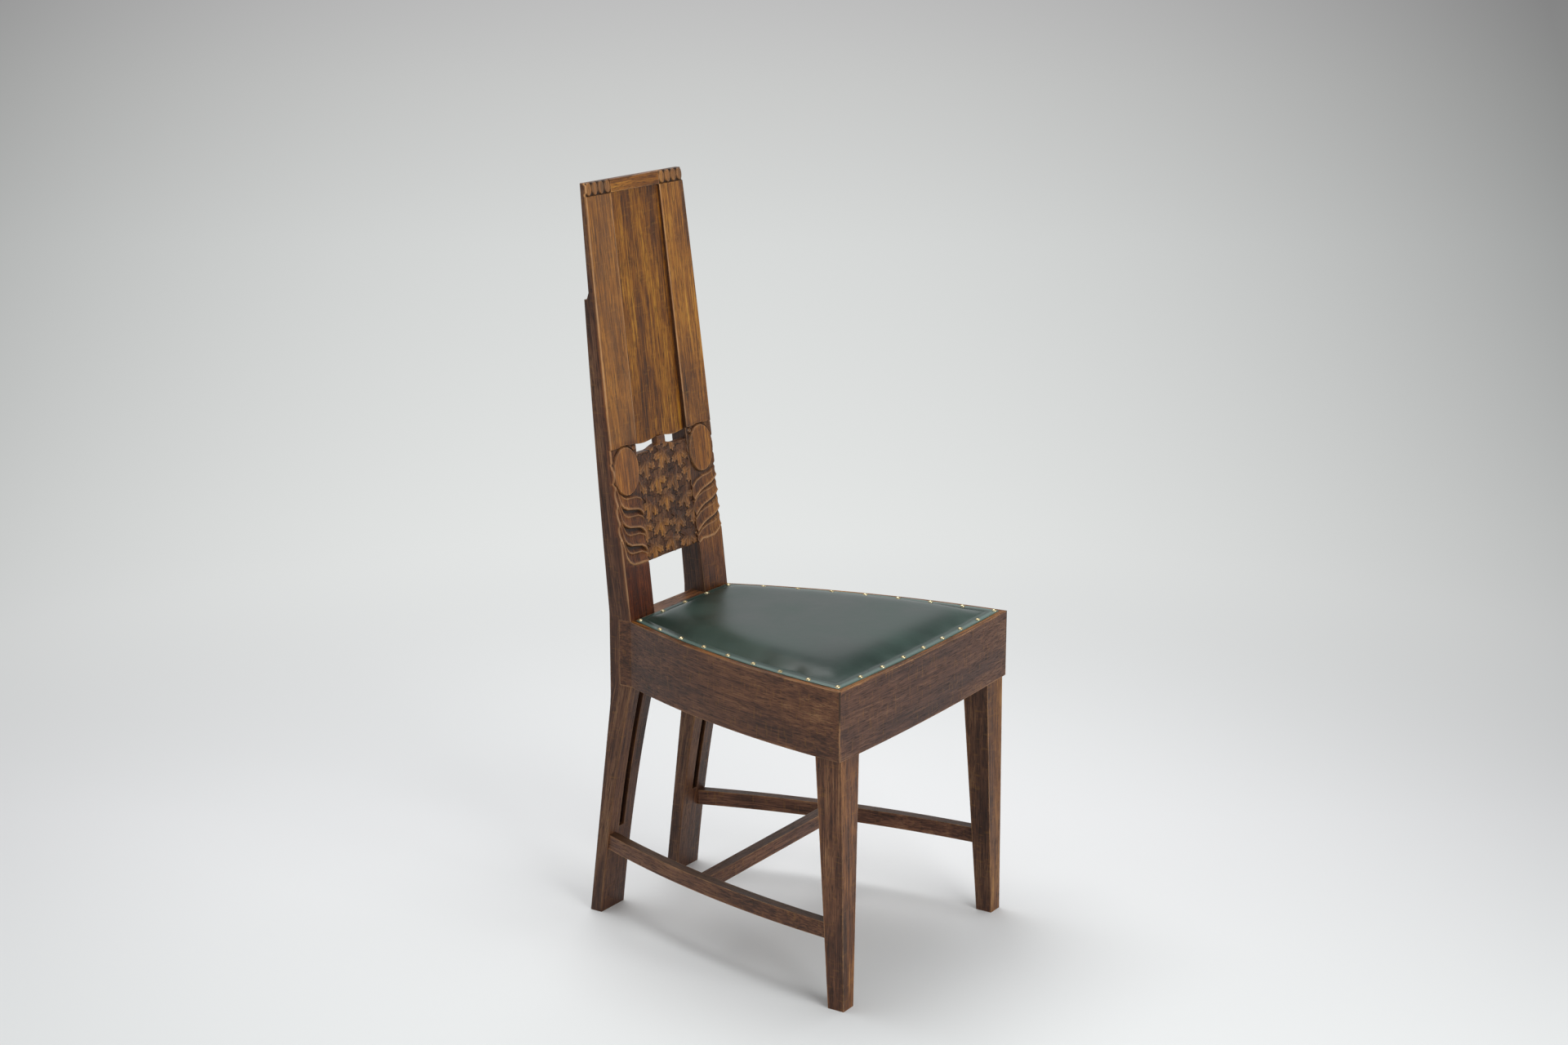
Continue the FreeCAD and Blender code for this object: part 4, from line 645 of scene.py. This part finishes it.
def leafRelief(x, z, half):
    s = splat
    tooled = s["tooling"] * np.sin(x * 2.3 + 3 * np.sin(z * 0.9)) * np.sin(
        z * 2.6 + 2 * np.sin(x * 0.7))
    rise = tooled - s["ground"]
    crest = np.zeros_like(x)
    warmth = np.full_like(x, s["groundWarm"])
    # The sunk ground is painted dark as shade, darkest in the tooling's pits
    shade = s["groundDark"] - 0.35 * tooled
    tall = (chair["splatTop"] - chair["splatLow"]) / s["leafRows"]
    wide = 2 * half / s["leafAcross"]
    for row in range(-1, s["leafRows"] + 1):
        for column in range(-1, s["leafAcross"] + 1):
            # each leaf is moved, turned and sized a little by its own number
            odd = row * 2.3 + column * 1.7
            middle = -half + (column + (1.0 if row % 2 else 0.5)) * wide + 1.2 * math.sin(odd * 1.9)
            heart = chair["splatLow"] + (row + 0.62) * tall + 3.6 * math.sin(odd * 1.3)
            turn = 0.34 * math.sin(odd)
            size = s["leafSize"] * (1 + 0.05 * math.sin(odd * 2.9))
            right = (x - middle) * math.cos(turn) + (z - heart) * math.sin(turn)
            down = (x - middle) * math.sin(turn) - (z - heart) * math.cos(turn)
            reach = np.hypot(right, down)
            angle = np.arctan2(right, down)
            edge = np.full_like(x, s["heartSize"])
            rib = np.zeros_like(x)
            for degrees, length in s["lobes"]:
                off = (angle - math.radians(degrees) + math.pi) % (2 * math.pi) - math.pi
                blade = length * np.clip(np.cos(off * 2.5), 0, 1) ** s["lobePower"] * (
                    np.abs(off) < s["lobeHalf"])
                edge = np.maximum(edge, blade * (1 + s["jagged"] * np.cos(off * 26)))
                rib = np.maximum(rib, bump(reach * np.sin(off), s["ribWidth"]) * (
                    reach * np.cos(off) > 0) * (
                    1 - smoothStep(reach / size, length * 0.55, length * 0.9)))
            within = edge * size - reach                # millimetres inside the outline
            hang = smoothStep(down / size, -0.1, 0.4)
            lift = -0.5 - 0.055 * reach - 0.5 * bump(reach / size - 0.3, 0.25) + s["ribRise"] * rib
            lift = lift - 0.6 * smoothStep(-down / size, -0.1, 0.6)
            lift = lift + (1.0 - s["ground"] - lift) * (1 - smoothStep(within, -0.1, 1.2))
            # Painted shadow along the outside of each leaf's outline
            outline = bump(np.minimum(within + 0.3, 0), s["outlineWidth"])
            # Pale rims and ribs on the hanging half are a painted highlight
            rim = 0.08 + 0.35 * rib + 0.5 * bump(within - s["rimInset"], 1.0)
            take = within > 0
            rise = np.where(take, lift, rise)
            crest = np.where(take, rim * hang, crest)
            # Each leaf is painted warm and pale towards its hanging lobes and dark at the root, as
            # painted shade from the leaf above
            warmth = np.where(take, s["leafWarm"] + (1 - s["leafWarm"]) * hang, warmth)
            shade = np.where(take, 0.1 + 0.2 * (1 - hang) * (1 - rib), np.maximum(shade, outline))
    return rise, crest, warmth, np.clip(shade, 0, 1)


def makeSplat():
    s, low, high = splat, chair["splatLow"], chair["splatTop"]
    half = (s["halfLow"] + s["halfHigh"]) / 2 + s["tuck"]
    neckHalf = s["neckHalf"]
    places = np.sort(np.concatenate([np.linspace(-half, half, s["columns"]), [
        -neckHalf - 0.3, -neckHalf, neckHalf, neckHalf + 0.3]]))
    rows, columns = s["rows"], len(places)
    arch = high + (s["neckLow"] - high) * smoothStep(
        half - np.abs(places), half * 0.45, half - neckHalf)
    top = np.where(np.abs(places) <= neckHalf + 0.01, s["neckTop"], arch)
    x = np.tile(places, (rows, 1))
    z = low + np.linspace(0, 1, rows)[:, None] * (top[None, :] - low)
    rise, crest, warm, deep = leafRelief(x, z, half)
    rise = rise - 0.8 * (1 - smoothStep(z, low, low + 2.5))
    onNeck = smoothStep(z, s["neckLow"] - 3, s["neckLow"] + 1)
    rise = rise * (1 - onNeck) - s["neckSink"] * onNeck
    crest, deep = crest * (1 - onNeck), deep * (1 - onNeck)
    front = postFront(z) + s["recess"]
    grow = (s["halfHigh"] - s["halfLow"]) * (z - low) / (high - low) / half
    wide = x * (1 + grow + (s["halfLow"] - half + s["tuck"]) / half)
    none = np.zeros_like(crest)
    points, marks = [], {"grain": [], "crest": [], "hollow": [], "warmth": [], "ruddy": []}
    for depth, edge, dark, glow in ((-rise, crest, deep, warm),
                                    (none + s["thickness"], none, none, none + 0.05)):
        points.append(np.stack([wide, front + depth, z], axis=-1).reshape(-1, 3))
        marks["grain"].append(np.stack([z, wide, depth], axis=-1).reshape(-1, 3) / 1000)
        for name, values in (("crest", edge), ("hollow", dark), ("warmth", glow),
                             ("ruddy", none + 0.1)):
            marks[name].append(values.ravel())
    return makePiece("splat_carved", np.concatenate(points), slabFaces(rows, columns),
                     oaks["oakCarved"], {name: np.concatenate(values)
                                         for name, values in marks.items()}, sharp=50)


finishPiece(makeSplat(), "oak_carved", "carved_splat")
print("splat carved")


# Seat: a hide over hair stuffing, nailed flat on a rabbeted frame

seat = {
    "rim": 9.0,               # bare wood outside the hide
    "rear": 423.5,
    "nailInset": 13.6, "nailsAcross": 9, "nailsAlong": 8, "nailsRear": 3,
    "border": 17.0,           # flat nailed border
    "thickness": 1.6,
    "crown": 13.4,
    "frontSwell": 21.0, "sideSwell": 20.0, "rearSwell": 15.0, "soften": 1.5,
    "across": 150, "along": 140, "closer": 1.35,       # rows of points, closer at the edges
    "dent": 2.4, "dentReach": 15.0,       # the crown is drawn in beside each nail
    "pucker": (-194.0, 104.0), "puckerDent": 5.0, "puckerReach": 13.0,   # most of all at one
    "nailSink": 0.35, "nailSinkReach": 7.0,
    "flatCorners": [(-205.0, 0.45), (205.0, 0.2)], "flatReach": 85.0,    # thinner stuffing
    "flatFront": 25.0,
    "clothInset": 17.0,
    "stuffingLow": 459.25, "stuffingInset": 26.6,
    "borderWornAndSheen": 0.75,
}


def planFront(x, inset):
    return chair["frontRadius"] - np.sqrt((chair["frontRadius"] - inset) ** 2 - x ** 2)


def planSide(y, inset):
    centreX, centreY = chair["sideCentre"]
    return centreX + np.sqrt((chair["sideRadius"] - inset) ** 2 - (y - centreY) ** 2)


def planRear(inset):
    return seat["rear"] - (inset - seat["rim"])


# Points of a grid over the seat, from the middle outwards and from the front to the rear
def planGrid(across, along, inset):
    u, v = np.meshgrid(across, along)
    x = u * 180.0
    for _ in range(6):        # settles where the bowed sides meet each row
        y = planFront(x, inset) + v * (planRear(inset) - planFront(x, inset))
        x = u * planSide(y, inset)
    return x, y


def closeShares(count):
    share = np.linspace(-1, 1, count)
    return np.sign(share) * (1 - (1 - np.abs(share)) ** seat["closer"])


def nailPlaces():
    inset, rear = seat["nailInset"], planRear(seat["nailInset"])
    x, y = planGrid([1.0], [0.0], inset)
    cornerX, cornerY = float(x[0, 0]), float(y[0, 0])
    places = []
    for share in np.linspace(-1, 1, seat["nailsAcross"]):
        places.append((cornerX * share, float(planFront(cornerX * share, inset))))
    for index in range(1, seat["nailsAlong"] + 1):
        along = cornerY + (rear - cornerY) * index / seat["nailsAlong"]
        places += [(side * float(planSide(along, inset)), along) for side in (-1, 1)]
    rearX = float(planSide(rear, inset))
    count = seat["nailsRear"] + 1
    return places + [(rearX * (index * 2 / count - 1), rear) for index in range(1, count)]


def hideHeight(x, y):
    s = seat
    gaps = [np.hypot(x - nailX, y - nailY) for nailX, nailY in nailPlaces()]
    dent = sum(bump(gap, s["dentReach"]) for gap in gaps)
    puckerX, puckerY = s["pucker"]
    outside = s["border"] - 1.6 + s["dent"] * dent + s["puckerDent"] * bump(
        np.hypot(x - puckerX, y - puckerY), s["puckerReach"])
    front = y - planFront(x, s["rim"])
    side = (planSide(y, s["rim"]) - np.abs(x)) * 0.97
    rear = planRear(s["rim"]) - y
    crown = 1.0
    for gap, swell in ((front - outside, s["frontSwell"]), (side - outside, s["sideSwell"]),
                       (rear - 10, s["rearSwell"])):
        crown = crown * (1 - np.exp(-(np.clip(gap, 0, None) / swell) ** s["soften"]))
    for cornerX, amount in s["flatCorners"]:
        crown = crown * (1 - amount * bump(np.hypot(x - cornerX, y - s["flatFront"]),
                                           s["flatReach"]))
    near = np.minimum(np.minimum(front, side), rear + 7)
    height = s["crown"] * crown - 0.7 * bump(near - outside + 0.6, 1.6)
    for gap in gaps:
        height = height - s["nailSink"] * bump(gap, s["nailSinkReach"])
    return height, near


# Smooth calf hide, dyed dark green and waxed: fine grain, half gloss, faint creases
def greenHide(add):
    place = add("TexCoord", out="Object")
    cells = add("TexVoronoi", {"Vector": place, "Scale": 620.0}, feature="DISTANCE_TO_EDGE")
    folds, cloud = [add("TexNoise", {"Vector": place, "Scale": scale, "Detail": detail,
                                     "Roughness": rough})
                    for scale, detail, rough in ((90.0, 5.0, 0.6), (9.0, 4.0, 0.55))]
    colour = add("ValToRGB", (cloud,), stops=[
        (0.35, "#1b2c26"), (0.5, "#22362f"), (0.66, "#2b4139")])
    # The flat nailed border is paler: worn, and a painted sheen
    border = add("Attribute", attribute_name="border", out="Fac")
    relief = add("Bump", {"Strength": 0.22, "Distance": 0.0005,
                          "Height": add("Math", (cells, 0.35, folds), **addTimes)})
    return {"Base Color": add("Mix", {0: border, 6: colour, 7: "#5a716a"}, **colours),
            "Roughness": add("MapRange", (cloud, 0.35, 0.65, 0.29, 0.38)),
            "Normal": relief, "Specular IOR Level": 0.55}


def makeSeat():
    s, base = seat, chair["seatHeight"]
    across, along = closeShares(s["across"]), (closeShares(s["along"]) + 1) / 2
    x, y = planGrid(across, along, s["rim"])
    rise, near = hideHeight(x, y)
    top = base + s["thickness"] + rise
    top = top - 0.5 * (1 - np.clip(near, 0, 1.2) / 1.2) ** 2       # cut edge, eased
    points = [np.stack([x, y, top], axis=-1).reshape(-1, 3)]
    rows, columns = x.shape
    last = edgeLoop(rows, columns)
    faces = rowFaces(rows, columns, False)
    start, count = rows * columns, len(last)
    innerX, innerY = planGrid(across, along, s["stuffingInset"])
    inner = np.stack([innerX, innerY, np.zeros_like(innerX)], axis=-1).reshape(-1, 3)[last]
    # the hide's edge down to the frame, in under it, and down round the stuffing
    for level, source in ((base + 0.02, points[0][last]), (base + 0.02, inner),
                          (s["stuffingLow"], inner)):
        points.append(np.column_stack([source[:, :2], np.full(count, level)]))
        ring = list(range(start, start + count))
        faces += [(a, c, d, b) for a, b, c, d in zip(last, last[1:] + last[:1], ring,
                                                     ring[1:] + ring[:1])]
        last, start = ring, start + count
    faces.append(tuple(last))
    flat = np.concatenate([1 - smoothStep(near.ravel(), 5.0, 9.0), np.ones(3 * count)])
    return makePiece("seat_leather", np.concatenate(points), faces,
                     makeMaterial("leatherGreenHide", greenHide),
                     {"border": s["borderWornAndSheen"] * flat}, sharp=50)


hide = makeSeat()
finishPiece(hide, "green_leather", "leather_cover", "seat_stuffing")
print("seat made")


# Brass nails: domed heads set by one tree of nodes, each a little turned

nails = {
    "radius": 3.65, "dome": 2.5, "sunk": 0.25,         # millimetres
    "tilt": 5.0, "seed": 4, "segments": 20, "rings": 12,
}


# Cast brass, aged: dull brown and rubbed bright in patches
def brass(add):
    stain = add("TexNoise", {"Vector": add("TexCoord", out="Object"), "Scale": 260.0,
                             "Detail": 4.0, "Roughness": 0.6})
    colour = add("ValToRGB", (stain,), stops=[
        (0.36, "#97855f"), (0.5, "#cfc096"), (0.64, "#e8dcb8")])
    return {"Base Color": colour, "Metallic": 1.0,
            "Roughness": add("MapRange", (stain, 0.3, 0.7, 0.5, 0.28))}


def makeNails():
    base = chair["seatHeight"] + seat["thickness"] - nails["sunk"]
    mesh = bpy.data.meshes.new("nailPlaces")
    mesh.from_pydata([(x / 1000, (y - chair["halfDepth"]) / 1000, base / 1000)
                      for x, y in nailPlaces()], [], [])
    holder = newObject("nail_heads", mesh)

    tree = bpy.data.node_groups.new("nailHeads", "GeometryNodeTree")
    settings = {}
    for name, way, kind, value in (
            ("Geometry", "INPUT", "Geometry", None),
            ("Head radius", "INPUT", "Float", nails["radius"] / 1000),
            ("Dome height", "INPUT", "Float", nails["dome"] / 1000),
            ("Most tilt", "INPUT", "Float", math.radians(nails["tilt"])),
            ("Seed", "INPUT", "Int", nails["seed"]),
            ("Geometry", "OUTPUT", "Geometry", None)):
        socket = tree.interface.new_socket(name, in_out=way, socket_type="NodeSocket" + kind)
        if value is not None:
            settings[socket.identifier] = value
    add = partial(addNode, tree)
    source = add("NodeGroupInput").node.outputs
    radius, tilt = source["Head radius"], source["Most tilt"]
    ball = add("GeometryNodeMeshUVSphere", {
        "Segments": nails["segments"], "Rings": nails["rings"], "Radius": radius})
    x, y, z = add("SeparateXYZ", (add("GeometryNodeInputPosition"),)).node.outputs
    squash = add("Math", (source["Dome height"], radius), operation="DIVIDE")
    lifted = add("Math", (add("Math", (z, 0.0), **most), squash), **times)
    head = add("GeometryNodeSetPosition", {
        "Geometry": ball, "Position": add("CombineXYZ", (x, y, lifted))})
    least = add("Math", (tilt, -1.0), **times)
    turns = add("FunctionNodeRandomValue", {
        0: add("CombineXYZ", (least, least, -3.14)), 1: add("CombineXYZ", (tilt, tilt, 3.14)),
        "Seed": source["Seed"]}, data_type="FLOAT_VECTOR")
    spread = add("GeometryNodeInstanceOnPoints", {
        "Points": source["Geometry"], "Instance": head, "Rotation": turns})
    solid = add("GeometryNodeRealizeInstances", (spread,))
    add("NodeGroupOutput", (add("GeometryNodeSetMaterial", {
        "Geometry": solid, "Material": makeMaterial("brassAged", brass)}),))

    modifier = holder.modifiers.new("heads", "NODES")
    modifier.node_group = tree
    for identifier, value in settings.items():
        modifier[identifier] = value
    evaluated = holder.evaluated_get(bpy.context.evaluated_depsgraph_get())
    plain = bpy.data.meshes.new_from_object(evaluated)
    holder.modifiers.clear()
    holder.data = plain
    finishMesh(plain, sharp=60, weld=True)
    return holder


finishPiece(makeNails(), "nail_brass", "brass_nails")
print("nails set")


# Webbing woven over and under, and the hessian stretched over it

under = {
    "stripWidth": 50.0, "gap": 26.0, "strips": 4, "thick": 1.05, "low": 456.0, "high": 458.35,
    "steps": 120, "sideSteps": 6,      # rows of points along and across a strip
    "hessianLow": 458.42, "hessianHigh": 459.18, "hessianAcross": 80, "hessianAlong": 76,
    "ripple": 0.05,
    "webbingYarn": ("#6b5334", "#9b8057", "#bfa678"), "webbingPitch": 4.0,
    "hessianYarn": ("#7c6442", "#a88c61", "#c6ad82"), "hessianPitch": 3.0,
}


# Jute, plain woven from hairy brown yarn; threads drawn coarser than real, to show
def jute(add, pitch, yarn):
    place = add("TexCoord", out="Object")
    parts = add("SeparateXYZ", (place,)).node.outputs
    waves = [add("Math", (add("Math", (parts[axis], 2 * math.pi * 1000 / pitch), **times),),
                 operation="SINE") for axis in ("X", "Y")]
    hair = add("TexNoise", {"Vector": place, "Scale": 300.0, "Detail": 4.0})
    both = add("Math", (*waves, hair), **addTimes)
    colour = add("ValToRGB", (add("MapRange", (both, -0.6, 1.5)),), stops=list(
        zip((0.1, 0.5, 0.9), yarn)))
    relief = add("Bump", {"Strength": 0.5, "Distance": 0.0004, "Height": both})
    return {"Base Color": colour, "Roughness": 0.9, "Normal": relief}


def makeWebbing():
    w, inset = under, seat["clothInset"]
    pitch, half = w["stripWidth"] + w["gap"], (w["strips"] - 1) / 2
    steps, sideSteps = w["steps"], w["sideSteps"]
    middleY = (float(planFront(0.0, inset)) + planRear(inset)) / 2
    crossY = [middleY + (index - half) * pitch for index in range(w["strips"])]
    longX = [(index - half) * (pitch - w["stripWidth"] / 4) for index in range(w["strips"])]
    middleZ = (w["low"] + w["high"]) / 2
    swing = (w["high"] - w["low"] - w["thick"]) / 2
    points, faces = [], []
    for across, lines, crossings in ((True, crossY, longX), (False, longX, crossY)):
        for row, line in enumerate(lines):
            grid = []
            for step in range(steps + 1):
                share = 2 * step / steps - 1
                for part in range(sideSteps + 1):
                    offset = line + w["stripWidth"] * (part / sideSteps - 0.5)
                    if across:
                        run = share * float(planSide(offset, inset))
                        x, y = run, offset
                    else:
                        front = float(planFront(offset, inset))
                        run = front + (planRear(inset) - front) * (share + 1) / 2
                        x, y = offset, run
                    wave = 0.0
                    for index, crossing in enumerate(crossings):
                        above = (index + row) % 2 == (1 if across else 0)
                        near = 1 - min(abs(run - crossing) / (pitch / 2), 1)
                        wave += (1 if above else -1) * near * near * (3 - 2 * near)
                    grid.append((x, y, middleZ + swing * max(-1, min(1, wave * 1.25))))
            faces += slabFaces(steps + 1, sideSteps + 1, len(points))
            points += [(x, y, z + shift) for shift in (w["thick"] / 2, -w["thick"] / 2)
                       for x, y, z in grid]
    return makePiece("webbing_woven", points, faces, makeMaterial(
        "juteWebbing", jute, pitch=w["webbingPitch"], yarn=w["webbingYarn"]))


def makeHessian():
    w = under
    x, y = planGrid(np.linspace(-1, 1, w["hessianAcross"]), np.linspace(0, 1, w["hessianAlong"]),
                    seat["clothInset"])
    ripple = w["ripple"] * np.sin(x / 9.0) * np.sin(y / 11.0)
    points = [np.stack([x, y, np.full_like(x, level) + ripple], axis=-1).reshape(-1, 3)
              for level in (w["hessianHigh"], w["hessianLow"])]
    outline = points[0][edgeLoop(*x.shape)][:, :2] / 1000
    following = np.roll(outline, -1, axis=0)
    area = abs(float(np.sum(outline[:, 0] * following[:, 1] - following[:, 0] * outline[:, 1]))) / 2
    piece = makePiece("hessian_sheet", np.concatenate(points), slabFaces(*x.shape), makeMaterial(
        "juteHessian", jute, pitch=w["hessianPitch"], yarn=w["hessianYarn"]))
    return piece, tuple(float(span) for span in np.ptp(outline, axis=0)), area


finishPiece(makeWebbing(), "jute_webbing", "seat_webbing")
hessian, cut, clothArea = makeHessian()
finishPiece(hessian, "jute_hessian", "seat_hessian")
print("webbing and hessian made")


# Studio: one pale paper floor, a soft sky of light and two broad lamps

studio = {
    # Paper colours by how far off the floor lies, as the photograph's own sweep fades
    # These colours darken with distance from the chair as painted shade
    "paper": [(0.41, "#e9ebeb"), (0.53, "#ecedee"), (0.68, "#e4e6e5"), (0.814, "#d8dad9"),
              (0.889, "#c9cac9"), (0.926, "#bfbfbf")],
    "near": 0.9, "far": 2.2,           # metres from the chair over which the sweep takes over
    "floorRadius": 60.0,
    "gaze": (0.8346, 0.5508),          # the camera's direction over the floor
    "stand": 3.63, "eye": 1.9,         # its distance from the chair, and its height's share
    # Shading at the sides of the photograph, which fades out beyond its frame
    "sideMiddle": 0.03, "sideStart": 0.41, "sideGrowth": 9.2, "sideLeast": 0.8, "sideMost": 0.55,
    "frame": (0.31, 0.42),
    "sky": 0.46, "backdrop": 0.79, "ceiling": 0.09, "skyLow": 0.36, "skyHigh": 0.62,
    "lit": "#f6f7f8", "shown": "#f4f6f7",
    # place, width in metres, power in watts
    "lamps": [((0.35, 0.65, 3.0), 2.0, 52.0), ((-1.0, -3.5, 1.8), 2.4, 86.0)],
    "lampAim": (0, 0, 0.45),
}
view = {
    "place": (-3.03016, -2.00643, 1.55715), "angles": (75.329, -0.066, -56.579),
    "lens": 60.664, "sensor": 36.0, "shift": (0.0009, 0.0001), "reach": 200.0,
}


# Tells the rays that show the studio from those that only light the chair
def shownRays(add):
    rays = add("LightPath").node.outputs
    mirrored = add("Math", (rays["Is Glossy Ray"], rays["Is Transmission Ray"]), **most)
    return add("Math", (rays["Is Camera Ray"], mirrored), **most)


# Matt white paper, laid flat
def paper(add):
    s = studio
    gazeX, gazeY = s["gaze"]
    place = add("TexCoord", out="Object")
    behind, beside = [add("VectorMath", (place, way), out="Value", operation="DOT_PRODUCT")
                      for way in ((gazeX, gazeY, 0), (gazeY, -gazeX, 0))]
    away = add("Math", (add("Math", (behind, s["stand"]), **plus), 1.0), **most)
    share = add("Math", (1.0, add("Math", (s["eye"], away), operation="DIVIDE")),
                operation="SUBTRACT")
    aside = add("Math", (beside, away), operation="DIVIDE")
    shifted = add("Math", (aside, s["sideMiddle"]), **plus)
    past = add("Math", (share, s["sideStart"]), operation="SUBTRACT")
    strength = add("Math", (past, s["sideGrowth"], s["sideLeast"]), **addTimes)
    shaded = add("Math", (add("Math", (add("Math", (shifted, shifted), **times), strength),
                              **times), s["sideMost"]), operation="MINIMUM")
    fade = add("MapRange", (add("Math", (aside,), operation="ABSOLUTE"), *s["frame"], 1.0, 0.0),
               interpolation_type="SMOOTHSTEP")
    colour = add("Mix", {
        0: add("Math", (shaded, fade), use_clamp=True, **times),
        6: add("ValToRGB", (share,), stops=s["paper"]), 7: "#000000"}, **colours)
    fibre = add("TexNoise", {"Vector": place, "Scale": 900.0})
    relief = add("Bump", {"Strength": 0.05, "Distance": 0.0003, "Height": fibre})
    flat = add("BsdfPrincipled", {"Base Color": colour, "Roughness": 0.95, "Normal": relief,
                                  "Specular IOR Level": 0.1})
    reach = add("VectorMath", (place,), out="Value", operation="LENGTH")
    taken = add("MapRange", (reach, s["near"], s["far"]), interpolation_type="SMOOTHSTEP")
    # Far from the chair the paper glows in its colours for camera and mirror rays: painted light
    return add("MixShader", (add("Math", (taken, shownRays(add)), **times), flat,
                             add("Emission", (colour,))))


def makeStudio():
    s = studio
    shell = bmesh.new()
    bmesh.ops.create_circle(shell, cap_ends=True, segments=96, radius=s["floorRadius"])
    mesh = bpy.data.meshes.new("floor_paper")
    shell.to_mesh(mesh)
    shell.free()
    mesh.materials.append(makeMaterial("paperFloor", paper))
    newObject("floor_paper", mesh)

    # The backdrop is pale near the floor and the room above it dark, as the seat reflects them
    world = bpy.data.worlds.new("studioSky")
    bpy.context.scene.world = world
    world.use_nodes = True
    world.node_tree.nodes.clear()
    add = partial(addNode, world.node_tree)
    height = add("SeparateXYZ", (add("TexCoord", out="Generated"),), out="Z")
    level = add("MapRange", (height, s["skyLow"], s["skyHigh"], s["backdrop"], s["ceiling"]),
                interpolation_type="SMOOTHSTEP")
    add("OutputWorld", (add("MixShader", (
        shownRays(add), add("Background", (s["lit"], s["sky"])),
        add("Background", (s["shown"], level)))),))

    for index, (place, wide, power) in enumerate(s["lamps"]):
        lamp = bpy.data.lights.new(f"softLamp{index}", "AREA")
        lamp.shape, lamp.size, lamp.energy = "SQUARE", wide, power
        light = newObject(f"softLamp{index}", lamp)
        light.location = place
        x, y, z = np.array(s["lampAim"]) - np.array(place)
        light.rotation_euler = (math.atan2(math.hypot(x, y), -z), 0, math.atan2(-x, y))


makeStudio()

camera = newObject("camera", bpy.data.cameras.new("camera"))
camera.data.sensor_width = view["sensor"]
camera.data.lens = view["lens"]
camera.data.shift_x, camera.data.shift_y = view["shift"]
camera.data.clip_end = view["reach"]
camera.location = view["place"]
camera.rotation_euler = [math.radians(angle) for angle in view["angles"]]
bpy.context.scene.camera = camera
bpy.context.scene.view_settings.view_transform = "Standard"
print("studio and camera ready")
